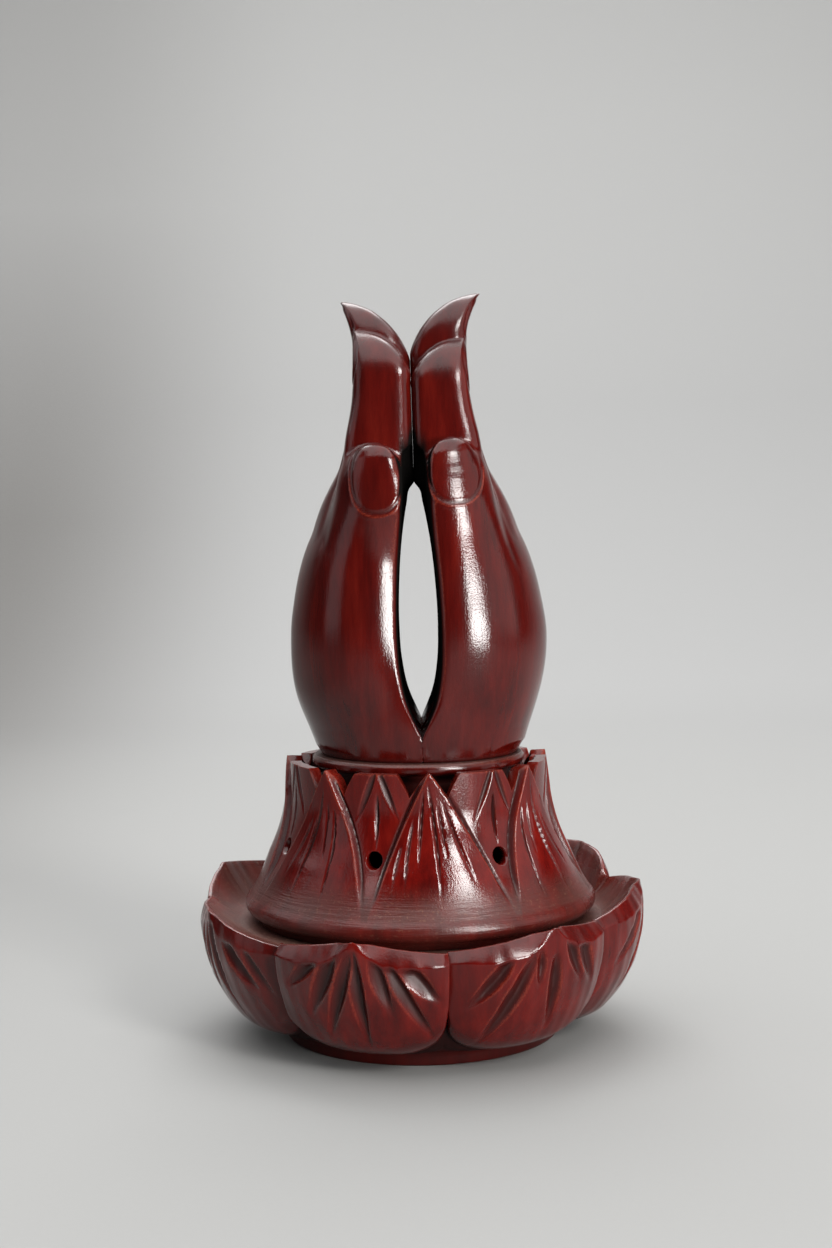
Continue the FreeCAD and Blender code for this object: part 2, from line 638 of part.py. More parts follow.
def palm_gap():
    """Pointed opening right through between the palms."""
    reach = 2 * size("palm_depth")
    foot = hand_place(0, -reach, size("gap_foot"))
    top = hand_place(0, -reach, size("gap_top"))
    right, left = (hand_place(sign * size("gap_half"), -reach, size("gap_middle")) for sign in (1, -1))
    edge = Part.Wire([Part.Arc(foot, right, top).toShape(), Part.Arc(top, left, foot).toShape()])
    return Part.Face(edge).extrude(FreeCAD.Vector(0, 2 * reach, 0))


def palm_hollow():
    """Cupped hollow inside the palms."""
    matrix = FreeCAD.Matrix()
    matrix.scale(size("hollow_half"), size("hollow_depth"), size("hollow_half_rise"))
    matrix.move(hand_place(0, 0, size("gap_middle + hollow_lift")))
    return Part.makeSphere(1).transformGeometry(matrix)


def half_space(side):
    """Everything on one side of the seam, which leans with the hands."""
    reach = 2 * size("middle_rise")
    corner = FreeCAD.Vector(0 if side > 0 else -reach, -reach / 2, -reach / 2)
    block = Part.makeBox(reach, reach, reach, corner)
    lean = FreeCAD.Rotation(FreeCAD.Vector(0, 1, 0), -size("hand_lean"))
    block.Placement = FreeCAD.Placement(hand_place(0, 0, 0), lean)
    return block


def build_hand(label, side):
    """One hand: palm, fingers and thumb joined, cut at the seam, hollowed and drilled."""
    fingers = [finger_loft(side, finger) for finger in ("index", "middle", "ring", "little")]
    carved = palm_loft().fuse(fingers + [thumb_loft(side)]).common(half_space(side))
    wrist = hand_place(0, 0, 0)
    pilot_length = size("screw_length - plinth_lift - plinth_rim")
    waste = [
        palm_gap(),
        palm_hollow(),
        Part.makeCylinder(size("flue_radius"), size("gap_middle"), wrist, UPWARD),
        Part.makeCylinder(size("screw_radius + drive_fit"), pilot_length,
                          wrist + FreeCAD.Vector(side * size("screw_offset"), 0, 0), UPWARD),
    ]
    for sign in (-1, 1):
        end = FreeCAD.Vector(-size("dowel_length") / 2, sign * size("dowel_spacing") / 2, size("dowel_rise"))
        waste.append(Part.makeCylinder(size("dowel_radius + drive_fit"), size("dowel_length"),
                                       wrist + end, FreeCAD.Vector(1, 0, 0)))
    hand = doc.addObject("Part::Feature", label)
    hand.Shape = carved.cut(waste)
    hand.Placement = FreeCAD.Placement()
    return hand


# Every piece is checked before any is written

def write(pieces):
    """Stop on a failed object or a bad shape, then write each piece under its label."""
    doc.recompute()
    for item in doc.Objects:
        if "Invalid" in item.State or "Error" in item.State:
            raise RuntimeError(f"{item.Label} failed: {item.State}")
    for piece in pieces:
        if piece.Shape.isNull() or not piece.Shape.isValid():
            raise RuntimeError(f"{piece.Label} has no valid shape")
    os.makedirs("parts", exist_ok=True)
    for piece in pieces:
        piece.Shape.exportStep(f"parts/{piece.Label}.step")
        print(piece.Label, len(piece.Shape.Solids), round(piece.Shape.Volume, 1))


write([
    build_lotus_dish(),
    build_ash_pan(),
    build_pan_tacks(),
    build_fibre_mat(),
    build_smoke_cover(),
    build_plinth(),
    build_hand_screws(),
    build_wrist_dowels(),
    build_hand("left_hand", -1),
    build_hand("right_hand", 1),
])
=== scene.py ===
# Incense burner: a lotus dish with a brass ash pan, a lotus smoke cover and a pair of hands,
# carved in wood and lacquered deep red. +Z is up and the thumbs face -Y. The pieces are given in
# millimetres, which put_mesh turns into metres; backdrop, lights and camera are in metres.
import math
import bpy
import numpy as np
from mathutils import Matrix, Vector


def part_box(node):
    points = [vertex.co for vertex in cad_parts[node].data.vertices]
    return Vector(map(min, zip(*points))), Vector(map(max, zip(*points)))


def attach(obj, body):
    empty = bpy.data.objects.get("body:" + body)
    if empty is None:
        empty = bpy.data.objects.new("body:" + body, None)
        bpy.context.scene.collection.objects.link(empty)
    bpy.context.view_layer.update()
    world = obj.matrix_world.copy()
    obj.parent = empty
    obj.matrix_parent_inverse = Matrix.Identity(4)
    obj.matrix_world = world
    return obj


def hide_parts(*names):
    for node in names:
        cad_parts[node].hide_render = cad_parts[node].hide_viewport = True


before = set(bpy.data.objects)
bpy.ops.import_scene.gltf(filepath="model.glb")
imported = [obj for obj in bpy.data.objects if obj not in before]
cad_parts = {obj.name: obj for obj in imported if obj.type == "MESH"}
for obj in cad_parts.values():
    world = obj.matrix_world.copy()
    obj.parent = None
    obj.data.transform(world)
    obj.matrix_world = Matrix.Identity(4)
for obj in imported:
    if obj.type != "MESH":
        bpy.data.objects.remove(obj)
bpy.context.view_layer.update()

# Lotus dish: the base, one block of wood turned on its foot and well and carved outside
# into seven uneven petals, each laid over or under its neighbours and gouged in a fan
# from its tip. Red lacquer, with painted shade in the cuts and under the petals, and rubbed bright
# on the lips, which is both wear and painted highlight.
MM = 0.001


def ease(low, high, value):
    """Smooth step: 0 below low, 1 above high, 3t^2 - 2t^3 between them."""
    t = np.clip((value - low) / (high - low), 0.0, 1.0)
    return t * t * (3.0 - 2.0 * t)


def put_mesh(name, points, faces, sharp_degrees=48.0, **marks):
    """Object from points in mm and lists of triangles or quads, with one number per point for each mark."""
    mesh = bpy.data.meshes.new(name)
    points = np.asarray(points, np.float64).reshape(-1, 3)
    corners = np.concatenate([np.asarray(part).ravel() for part in faces])
    sides = np.concatenate([np.full(len(part), np.shape(part)[1]) for part in faces])
    mesh.vertices.add(len(points))
    mesh.vertices.foreach_set("co", (points * MM).astype(np.float32).ravel())
    mesh.loops.add(len(corners))
    mesh.loops.foreach_set("vertex_index", corners.astype(np.int32))
    mesh.polygons.add(len(sides))
    mesh.polygons.foreach_set("loop_start", (np.cumsum(sides) - sides).astype(np.int32))
    mesh.polygons.foreach_set("use_smooth", np.ones(len(sides), bool))
    mesh.update(calc_edges=True)
    mesh.validate()
    for mark, values in marks.items():
        layer = mesh.attributes.new(mark, "FLOAT", "POINT")
        layer.data.foreach_set("value", np.asarray(values, np.float32).ravel())
    mesh.set_sharp_from_angle(angle=math.radians(sharp_degrees))
    piece = bpy.data.objects.new(name, mesh)
    bpy.context.collection.objects.link(piece)
    return piece


def turned_points(radius, height, turn):
    """Points of rows of (radius, height) carried round the axis: x = r sin turn, y = -r cos turn."""
    return np.stack([radius * np.sin(turn), -radius * np.cos(turn), height + 0.0 * turn], -1)


def turned_faces(rows, columns, start=0):
    """Quads of a grid of rows by columns that closes round in its columns, facing right x up."""
    row = np.arange(rows - 1)[:, None] * columns
    near = np.arange(columns)[None, :]
    far = (near + 1) % columns
    quads = np.stack([row + near, row + far, row + columns + far, row + columns + near], -1)
    return quads.reshape(-1, 4) + start


def end_faces(columns, ring, pole, opening):
    """Triangles from a ring of points, the first of which is number ring, to the point pole.

    They turn one way round at the opening end of a piece and the other way at its closing end.
    """
    near = np.arange(columns)
    far = (near + 1) % columns
    order = [np.full(columns, pole), ring + far, ring + near]
    if not opening:
        order = [ring + near, ring + far, np.full(columns, pole)]
    return np.stack(order, -1)


def turned_piece(name, radius, height, turn, **marks):
    """Closed piece: rows of radius and height run from a pole on the axis to the other pole."""
    rows, columns = radius.shape
    points = turned_points(radius, height, turn).reshape(-1, 3)
    poles = [[0.0, 0.0, height[0].mean()], [0.0, 0.0, height[-1].mean()]]
    first, last = rows * columns, rows * columns + 1
    faces = [turned_faces(rows, columns), end_faces(columns, 0, first, True)]
    faces.append(end_faces(columns, (rows - 1) * columns, last, False))
    ends = {mark: np.concatenate([values.ravel(), [0.0, 0.0]]) for mark, values in marks.items()}
    return put_mesh(name, np.concatenate([points, poles]), faces, **ends)


def gouge_cuts(side, height, strokes):
    """Depth and lip of knife cuts in a carved face.

    Each stroke is (start side, start height, end side, end height, half width, depth, bow), in mm.
    Along its length s from 0 to 1 the stroke swells as sin(pi s^0.75); across it the cut is a V with its
    bottom to the right of the middle and slightly hollow walls, and the lip is a narrow bell at each edge.
    """
    bottom, hollow, swell_power, slim_end, lip_width = -0.3, 0.8, 0.75, 0.3, 0.25
    depth = np.zeros_like(side)
    lip = np.zeros_like(side)
    for side_0, height_0, side_1, height_1, half, deep, bow in strokes:
        run, rise = side_1 - side_0, height_1 - height_0
        length = math.hypot(run, rise)
        s = ((side - side_0) * run + (height - height_0) * rise) / length ** 2
        across = ((side - side_0) * rise - (height - height_0) * run) / length
        inside = np.clip(s, 0.0, 1.0)
        swell = np.sin(np.pi * inside ** swell_power) * ((s > 0.0) & (s < 1.0))
        width = half * (slim_end + (1.0 - slim_end) * swell)
        off = (across - bow * 4.0 * inside * (1.0 - inside)) / width
        wall = np.where(off < bottom, (1.0 + off) / (1.0 + bottom), (1.0 - off) / (1.0 - bottom))
        depth = np.maximum(depth, deep * swell * np.clip(wall, 0.0, 1.0) ** hollow)
        lip = np.maximum(lip, np.sqrt(swell) * np.exp(-((np.abs(off) - 1.0) / lip_width) ** 2))
    return depth, lip


# The seven petals, from the front left one round by the right: turns in degrees from the front, heights of
# the rim, its power from tip to edge, bevel of the facet under it, swell of the belly, fall back at the two
# edges, and which edges lie over the neighbour
PETAL_EDGE_TURNS = (-41.0, 7.0, 56.0, 109.0, 163.0, 215.0, 265.0, 319.0)
PETAL_LEFT_HEIGHTS = (36.4, 36.2, 38.8, 43.2, 42.6, 40.7, 39.3)
PETAL_RIGHT_HEIGHTS = (36.2, 39.0, 40.6, 42.6, 42.0, 39.3, 35.2)
PETAL_TIP_TURNS = (-16.6, 34.4, 87.0, 126.0, 189.0, 251.0, 291.0)
PETAL_TIP_HEIGHTS = (40.3, 41.4, 44.4, 48.8, 46.6, 46.9, 41.4)
PETAL_RIM_POWERS = (0.8, 0.8, 1.6, 2.4, 2.0, 1.05, 1.0)
PETAL_BEVELS = (2.6, 2.6, 1.8, 1.0, 1.2, 0.3, 0.9)
PETAL_SWELLS = (0.0, 0.0, 1.3, 0.8, 0.0, 1.3, 0.65)
PETAL_LEFT_FALLS = (2.4, 4.6, 5.2, 3.6, 3.6, 2.6, 1.0)
PETAL_RIGHT_FALLS = (2.2, 2.4, 2.4, 2.4, 3.6, 1.4, 5.8)
PETAL_LEFT_ON_TOP = (True, False, False, False, False, True, True)
PETAL_RIGHT_ON_TOP = (True, True, True, True, False, False, False)
PETAL_COLUMNS = 60
PETAL_ROWS = 68
LEDGE_RADIUS, LEDGE_HEIGHT = 54.5, 34.5
WELL_RADIUS, PAN_SEAT_HEIGHT = 46.5, 25.0
BOWL_RADIUS, BOWL_FLOOR = 42.5, 11.0
# Knife cuts of a petal: start as a share of its half width and a fall below its tip, end as a share and
# a height, half width and depth
FRONT_LEFT_FAN = ((-0.36, 3.0, -0.82, 26.0, 2.2, 1.8), (-0.20, 2.6, -0.57, 18.0, 2.6, 2.0),
                  (-0.03, 2.6, -0.38, 12.0, 2.2, 2.0), (0.0, 2.2, 0.09, 9.5, 2.1, 2.0),
                  (0.20, 3.4, 0.39, 19.5, 2.3, 1.8), (0.33, 4.2, 0.87, 11.5, 2.0, 2.0),
                  (0.48, 4.0, 0.92, 23.0, 2.7, 2.1))
FRONT_RIGHT_FAN = ((-0.42, 5.4, -0.87, 20.0, 2.4, 1.9), (-0.22, 5.8, -0.72, 8.0, 2.5, 2.0),
                   (-0.15, 5.0, -0.16, 25.0, 1.5, 1.4), (0.0, 6.6, 0.05, 12.0, 2.2, 1.8),
                   (0.18, 3.0, 0.46, 25.0, 2.0, 1.9), (0.40, 3.6, 0.70, 23.5, 2.6, 1.7))
LEFT_FAN = ((-0.32, 3.4, -0.62, 20.0, 1.7, 1.5), (-0.12, 3.0, -0.38, 15.0, 1.8, 1.7),
            (0.02, 2.6, -0.14, 11.0, 1.9, 1.7), (0.10, 2.2, 0.30, 11.0, 2.1, 1.8),
            (0.34, 4.4, 0.74, 21.5, 2.4, 2.1), (0.62, 7.0, 0.90, 20.0, 1.8, 1.4))
PLAIN_FAN = ((-0.36, 4.4, -0.80, 25.0, 2.1, 1.6), (-0.18, 3.4, -0.52, 15.0, 2.2, 1.8),
             (0.0, 2.4, 0.02, 9.0, 2.0, 1.8), (0.18, 3.4, 0.52, 17.0, 2.1, 1.8),
             (0.36, 4.4, 0.82, 24.0, 2.3, 1.8))
PETAL_FANS = (FRONT_LEFT_FAN, FRONT_RIGHT_FAN, PLAIN_FAN, PLAIN_FAN, PLAIN_FAN, PLAIN_FAN, LEFT_FAN)


def petal_crest(height):
    """Petal's outer line: a quarter of a superellipse of power 1.72 from the belly to the widest place, above
    which it rounds in as a parabola."""
    widest_height, belly_height, widest, belly, power, round_in = 36.0, 4.5, 65.2, 47.5, 1.72, 0.012
    down = np.clip((widest_height - height) / (widest_height - belly_height), 0.0, 1.0)
    above = np.clip(height - widest_height, 0.0, None)
    return belly + (widest - belly) * (1.0 - down ** power) ** (1.0 / power) - round_in * above ** 2


def dish_body(height):
    """The turned block that shows under and between the petals: a quarter ellipse above the foot."""
    foot, top, foot_radius, swell = 3.6, 27.0, 41.0, 11.5
    down = np.clip((top - height) / (top - foot), 0.0, 1.0)
    return foot_radius + swell * np.sqrt(1.0 - down ** 2)


def petal_strip(number):
    """Columns of one petal from its left edge to its right one: turn, and share across from -1 to 1."""
    gap = 0.12
    left, right = PETAL_EDGE_TURNS[number] + gap, PETAL_EDGE_TURNS[number + 1] - gap
    tip = PETAL_TIP_TURNS[number]
    share = np.concatenate([np.linspace(-1.0, 0.0, PETAL_COLUMNS, endpoint=False),
                            np.linspace(0.0, 1.0, PETAL_COLUMNS)])
    turn = np.radians(np.where(share < 0.0, tip + share * (tip - left), tip + share * (right - tip)))
    return turn, share


def petal_face(number, share, turn):
    """Radius, height, painted shade, wear with painted highlight and painted black shade (soot) of one
    petal's outside, in rows from its lower outline to its rim.

    The outline is a superellipse that rises to both edges. The face lifts off the block in a quarter circle,
    falls back towards the edges and ends in a facet under the rim; a fan of knife cuts runs from the tip.
    """
    foot, edge_rise, outline_power = 4.5, 11.5, 2.5
    lift_height, fall_power, lap_fall = 5.0, 2.6, 0.7
    facet_least, facet_more, facet_power = 1.4, 3.2, 1.15
    arc_radius, cut_bow, full_cut, waver_deep = 62.0, 0.06, 1.2, 0.12
    tip_height = PETAL_TIP_HEIGHTS[number]
    off = np.abs(share)
    left = share < 0.0
    edge_height = np.where(left, PETAL_LEFT_HEIGHTS[number], PETAL_RIGHT_HEIGHTS[number])
    outline = foot + edge_rise * (1.0 - (1.0 - off ** outline_power) ** (1.0 / outline_power))
    rim = edge_height + (tip_height - edge_height) * (1.0 - off ** PETAL_RIM_POWERS[number])
    step = np.linspace(0.0, 1.0, PETAL_ROWS)[:, None]
    step = step - 0.08 * np.sin(2.0 * np.pi * step)
    height = outline + step * (rim - outline)
    on_top = np.where(left, PETAL_LEFT_ON_TOP[number], PETAL_RIGHT_ON_TOP[number])
    fall = np.where(left, PETAL_LEFT_FALLS[number], PETAL_RIGHT_FALLS[number]) * off ** fall_power
    fall = fall + on_top * lap_fall * ease(0.95, 1.0, off)
    facet = facet_least + facet_more * ease(0.04, 0.30, off) * (1.0 - 0.6 * ease(0.5, 1.0, off))
    in_facet = np.clip((height - rim + facet) / facet, 0.0, 1.0) ** facet_power
    bevel = PETAL_BEVELS[number] * ease(0.02, 0.20, off) * in_facet
    lift = np.sqrt(1.0 - (1.0 - np.clip((height - outline) / lift_height, 0.0, 1.0)) ** 2)
    arc = arc_radius * (turn - math.radians(PETAL_TIP_TURNS[number]))
    strokes = []
    for start_share, start_fall, end_share, end_height, half_width, deep in PETAL_FANS[number]:
        start, end = (part * (arc[-1] if part > 0.0 else -arc[0]) for part in (start_share, end_share))
        bow = cut_bow * (end - start)
        strokes.append((start, tip_height - start_fall, end, end_height, half_width, deep, bow))
    under_facet = ease(-0.8, 1.6, rim - facet - height)
    cut, lip = (under_facet * part for part in gouge_cuts(arc + 0.0 * height, height, strokes))
    waver = waver_deep * np.sin(0.9 * arc + 0.35 * height) * np.sin(0.23 * height - 0.4 * arc)
    crest = petal_crest(height) + PETAL_SWELLS[number] * ease(6.0, 22.0, height)
    radius = dish_body(height) * (1.0 - lift) + lift * (crest - fall - bevel + waver) - cut
    # Painted shade in the cuts, where the face lifts off the block and on edges tucked under a neighbour; the
    # facet under the rim is darker and duller
    tucked = np.where(on_top, 0.0, ease(0.9, 1.0, off))
    worn_lit_edge = np.where(on_top, ease(0.97, 1.0, off), 0.0)
    shade = np.clip(cut / full_cut, 0.0, 1.0) + 0.9 * (1.0 - ease(0.2, 0.85, lift))
    shade = shade + 0.3 * tucked + 0.3 * ease(0.0, 0.5, bevel)
    # Lips, rim and edges laid over a neighbour are rubbed lighter: wear and painted highlight
    worn = 0.8 * lip + 0.5 * ease(0.985, 1.0, step) + 0.5 * worn_lit_edge
    # The soot mark paints black shade where the face meets the block; no smoke reaches it
    soot = 0.6 * (1.0 - ease(0.1, 0.7, lift))
    return radius, height, np.clip(shade, 0.0, 1.0), np.clip(worn, 0.0, 1.0), soot


def joined(strips):
    """Grids of a whole turn from strips side by side; a strip is rows of numbers and its columns' turns."""
    grids = [[np.stack(part) for part in zip(*rows)] + [turn] for rows, turn in strips]
    return [np.concatenate(parts, -1) for parts in zip(*grids)]


def dish_rows():
    """Rows of the dish: underside, block below the petals, petals, rim, scoop, ledge and bowl.

    Gives grids of radius, height, cut (painted shade), worn (wear and painted highlight), dust and soot
    (painted black shade), and the turn of each column.
    """
    under = ((1.0, 1.5), (20.0, 1.5), (32.4, 1.5), (33.0, 1.1), (33.0, 0.4), (33.5, 0.0), (37.0, 0.0),
             (40.0, 0.0), (40.6, 0.25), (40.8, 0.8), (40.9, 2.6), (41.2, 3.6), (42.0, 4.4))
    under_top = under[-1][1]
    inside = ((LEDGE_RADIUS - 0.8, LEDGE_HEIGHT), (50.0, LEDGE_HEIGHT), (WELL_RADIUS + 0.5, LEDGE_HEIGHT),
              (WELL_RADIUS, LEDGE_HEIGHT - 0.5), (WELL_RADIUS, 30.0), (WELL_RADIUS, PAN_SEAT_HEIGHT + 0.3),
              (WELL_RADIUS - 0.3, PAN_SEAT_HEIGHT), (BOWL_RADIUS + 0.4, PAN_SEAT_HEIGHT),
              (BOWL_RADIUS, PAN_SEAT_HEIGHT - 0.4), (BOWL_RADIUS, 18.0), (BOWL_RADIUS, BOWL_FLOOR + 1.0),
              (BOWL_RADIUS - 1.0, BOWL_FLOOR), (24.0, BOWL_FLOOR), (1.0, BOWL_FLOOR))
    body_steps = (0.3, 0.6, 0.85)
    scoop_steps, scoop_power = (0.0, 0.1, 0.2, 0.35, 0.5, 0.65, 0.8, 1.0), 1.35
    ledge_dust = 1.2
    strips = []
    for number in range(len(PETAL_TIP_TURNS)):
        turn, share = petal_strip(number)
        radius, height, shade, worn, soot = petal_face(number, share, turn)
        flat = np.zeros_like(turn)
        # Underside and block below the petals: painted shade in the cut and soot marks, where no smoke goes
        rows = [(flat + r, flat + h, flat + 0.6, flat, flat, flat + 0.25) for r, h in under]
        for part in body_steps:
            rise = under_top + part * (height[0] - under_top)
            rows.append((dish_body(rise), rise, flat + 0.9, flat, flat, flat + 0.6))
        rows += [(r, h, s, w, flat, k) for r, h, s, w, k in zip(radius, height, shade, worn, soot)]
        rim_wall = 0.7 + 0.3 * np.abs(share)
        # Rim: top rubbed lighter, wear and painted highlight
        rows.append((radius[-1] - 0.3, height[-1] + 0.12, flat, flat + 0.5, flat, flat))
        rows.append((radius[-1] - rim_wall, height[-1] + 0.02, flat, flat + 0.2, flat + 0.3, flat))
        inner, top = radius[-1] - rim_wall - 0.2, height[-1] - 0.15
        for part in scoop_steps:
            reach = inner + part * (LEDGE_RADIUS - inner)
            scoop = LEDGE_HEIGHT + (top - LEDGE_HEIGHT) * (1.0 - part) ** scoop_power
            rows.append((reach, scoop, flat, flat, flat + 0.5 + 0.5 * part, flat))
        # Well and bowl: painted shade; dust on the ledge
        for r, h in inside:
            dust = ledge_dust if h >= LEDGE_HEIGHT else 0.0
            rows.append((flat + r, flat + h, flat + 0.3, flat, flat + dust, flat))
        strips.append((rows, turn))
    return joined(strips)


def node_maker(material):
    """Short way to add a node with its settings and to join sockets."""
    tree = material.node_tree

    def add(kind, inputs=None, **settings):
        node = tree.nodes.new("ShaderNode" + kind)
        for key, value in settings.items():
            setattr(node, key, value)
        for key, value in (inputs or {}).items():
            if isinstance(value, bpy.types.NodeSocket):
                tree.links.new(value, node.inputs[key])
            else:
                node.inputs[key].default_value = value
        return node
    return add


def new_material(name):
    """Empty node material, the node maker for it, and the place of a point on the piece as its first node."""
    material = bpy.data.materials.new(name)
    material.use_nodes = True
    material.node_tree.nodes.clear()
    add = node_maker(material)
    return material, add, add("TexCoord").outputs["Object"]


def ramp(add, factor, *stops):
    """Colour ramp through (place, colour) stops, driven by factor."""
    node = add("ValToRGB", {"Fac": factor})
    points = node.color_ramp.elements
    while len(points) < len(stops):
        points.new(0.5)
    for point, (place, colour) in zip(points, stops):
        point.position = place
        point.color = (*colour, 1.0)
    return node.outputs["Color"]


def blend_colour(add, factor, low, high):
    """Colour low where factor is 0 and high where it is 1."""
    node = add("Mix", data_type="RGBA", inputs={"Factor": factor})
    for socket, value in ((node.inputs[6], low), (node.inputs[7], high)):
        if isinstance(value, bpy.types.NodeSocket):
            node.id_data.links.new(value, socket)
        else:
            socket.default_value = (*value, 1.0)
    return node.outputs[2]


def noise(add, place, scale, detail, rough=0.5):
    """Noise between 0 and 1, with scale as its grains in a metre."""
    inputs = {"Vector": place, "Scale": scale, "Detail": detail, "Roughness": rough}
    return add("TexNoise", inputs).outputs["Fac"]


def spread(add, value, low, high, to_low=0.0, to_high=1.0, **settings):
    """Value carried from the range low to high into the range to_low to to_high, and held at its ends."""
    inputs = {"Value": value, "From Min": low, "From Max": high, "To Min": to_low, "To Max": to_high}
    return add("MapRange", inputs, **settings).outputs["Result"]


def reckon(add, operation, *values):
    """Result of one arithmetic node on the values."""
    return add("Math", dict(enumerate(values)), operation=operation).outputs[0]


def relief(add, height, strength, distance, under=None):
    """Normal of a surface with fine relief, laid over the relief under it where one is given."""
    inputs = {"Height": height, "Strength": strength, "Distance": distance}
    if under is not None:
        inputs["Normal"] = under
    return add("Bump", inputs).outputs["Normal"]


def red_lacquer(name, grain_squeeze, red, gloss_index, lathe=0.0):
    """Deep red lacquer over carved wood.

    Grain streaks run along the axis whose squeeze is small, red scales the colour and gloss_index is the
    index of refraction. The mark "cut" paints shade: it darkens and dulls the gouges, recesses and what lies
    under overhangs, and in a few places darkens and dulls for tone alone. "worn" shows rubbed red wood on the
    lips and edges, which also paints the highlight they catch. "dust" browns and dulls what lies sheltered
    and strews grit on it, and "soot" blackens the smoke's way and also paints the black of deep shade. Lathe
    is the strength of the turning marks below 53 mm.
    """
    dark_streak, mid_streak = (0.034 * red, 0.0012, 0.0009), (0.068 * red, 0.0024, 0.0015)
    light_streak, deep_cloud = (0.104 * red, 0.0052, 0.0028), (0.034 * red, 0.0020, 0.0016)
    # Near-black red of painted shade, and lighter red of worn edges, which is wear and painted highlight
    painted_shade_dark, worn_and_highlight_red = (0.014, 0.0018, 0.0014), (0.24, 0.038, 0.020)
    dust_brown, grit_pale = (0.072, 0.036, 0.026), (0.24, 0.13, 0.08)
    soot_and_shade_black = (0.0045, 0.0040, 0.0038, 1.0)
    gloss_least, gloss_most, cut_dulling, dust_dulling = 0.11, 0.17, 0.30, 0.25
    lathe_top, lathe_full, relief_height = 0.053, 0.046, 0.0003
    material, add, place = new_material(name)
    along = add("Mapping", {"Vector": place, "Scale": grain_squeeze}).outputs["Vector"]
    streak = noise(add, along, 230.0, 5.0, 0.62)
    cloud = noise(add, place, 42.0, 3.0)
    pores = noise(add, along, 1500.0, 2.0)
    peel = noise(add, place, 2100.0, 2.0)
    grit = noise(add, place, 1300.0, 1.0)
    marks = [add("Attribute", attribute_name=mark).outputs["Fac"] for mark in ("cut", "worn", "dust", "soot")]
    cut, worn, dust, soot = marks
    body = ramp(add, streak, (0.30, dark_streak), (0.52, mid_streak), (0.75, light_streak))
    body = blend_colour(add, spread(add, cloud, 0.35, 0.7, 0.0, 0.5), body, deep_cloud)
    # Painted shade from the cut mark
    body = blend_colour(add, reckon(add, "MULTIPLY", cut, 0.8), body, painted_shade_dark)
    # Wear and painted highlight from the worn mark
    rubbed = spread(add, reckon(add, "MULTIPLY", worn, peel), 0.18, 0.55, 0.0, 0.5)
    body = blend_colour(add, rubbed, body, worn_and_highlight_red)
    body = blend_colour(add, reckon(add, "MULTIPLY", dust, cloud), body, dust_brown)
    specks = spread(add, grit, 0.64, 0.70, 0.0, 0.45)
    body = blend_colour(add, reckon(add, "MULTIPLY", specks, dust), body, grit_pale)
    rough = spread(add, cloud, 0.3, 0.7, gloss_least, gloss_most)
    rough = reckon(add, "MULTIPLY_ADD", cut, cut_dulling, rough)
    rough = reckon(add, "MULTIPLY_ADD", dust, dust_dulling, rough)
    grain_normal = relief(add, pores, 0.10, relief_height)
    normal = relief(add, peel, 0.13, relief_height, grain_normal)
    if lathe > 0.0:
        ring_place = add("Mapping", {"Vector": place, "Scale": (0.25, 0.25, 4.0)}).outputs["Vector"]
        rings = noise(add, ring_place, 600.0, 3.0)
        level = add("SeparateXYZ", {"Vector": place}).outputs["Z"]
        turned = spread(add, level, lathe_top, lathe_full, 0.0, lathe)
        normal = relief(add, rings, turned, 2.0 * relief_height, normal)
    lacquer = add("BsdfPrincipled", {"Base Color": body, "Roughness": rough, "Normal": normal})
    lacquer.inputs["IOR"].default_value = gloss_index
    # Black of soot, which on the dish and in some recesses paints black shade
    black = add("BsdfDiffuse", {"Color": soot_and_shade_black, "Normal": grain_normal})
    shader = add("MixShader", {0: soot, 1: lacquer.outputs["BSDF"], 2: black.outputs["BSDF"]})
    add("OutputMaterial", {"Surface": shader.outputs["Shader"]})
    return material


# The dish's cut and soot marks paint its shade; its worn mark is wear and painted highlight
dish_radius, dish_height, dish_painted_shade, dish_worn_and_lit, dish_dust, dish_black_shade, dish_turn = dish_rows()
lotus_dish = turned_piece("lotus_dish_carved", dish_radius, dish_height, dish_turn,
                          cut=dish_painted_shade, worn=dish_worn_and_lit, dust=dish_dust, soot=dish_black_shade)
dish_lacquer = red_lacquer("dish_red_lacquer", (1.0, 1.0, 0.16), 1.2, 1.40)
lotus_dish.data.materials.append(dish_lacquer)
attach(lotus_dish, "dish")
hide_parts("lotus_dish")

# Ash pan: sheet brass spun to a shallow pan that hangs by its flange on the step of the well
# and keeps the fire off the wood. Dulled and browned by heat, with fine spinning rings.
PAN_FLOOR, PAN_FLANGE, PAN_SHEET, PAN_BEND = 13.5, 46.0, 0.9, 0.8


def full_turn(columns):
    """Turns of evenly spaced columns round the axis, in radians; the round closes on the first one."""
    return np.linspace(0.0, 2.0 * math.pi, columns, endpoint=False)


def spun(profile, turn):
    """Rows of radius and of height from (radius, height) points, the same at every turn."""
    return [part[:, None] + 0.0 * turn for part in np.array(profile, float).T]


def rounded_corners(profile, size, steps=4):
    """The profile with each inner corner cut back by up to size and rounded by a quadratic curve."""
    path = np.array(profile, float)
    out = [path[:1]]
    t = np.linspace(0.0, 1.0, steps + 1)[:, None]
    for before, corner, after in zip(path[:-2], path[1:-1], path[2:]):
        back, on = before - corner, after - corner
        start = corner + back * min(0.45, size / np.linalg.norm(back))
        end = corner + on * min(0.45, size / np.linalg.norm(on))
        out.append((1 - t) ** 2 * start + 2 * t * (1 - t) * corner + t ** 2 * end)
    out.append(path[-1:])
    return np.concatenate(out)


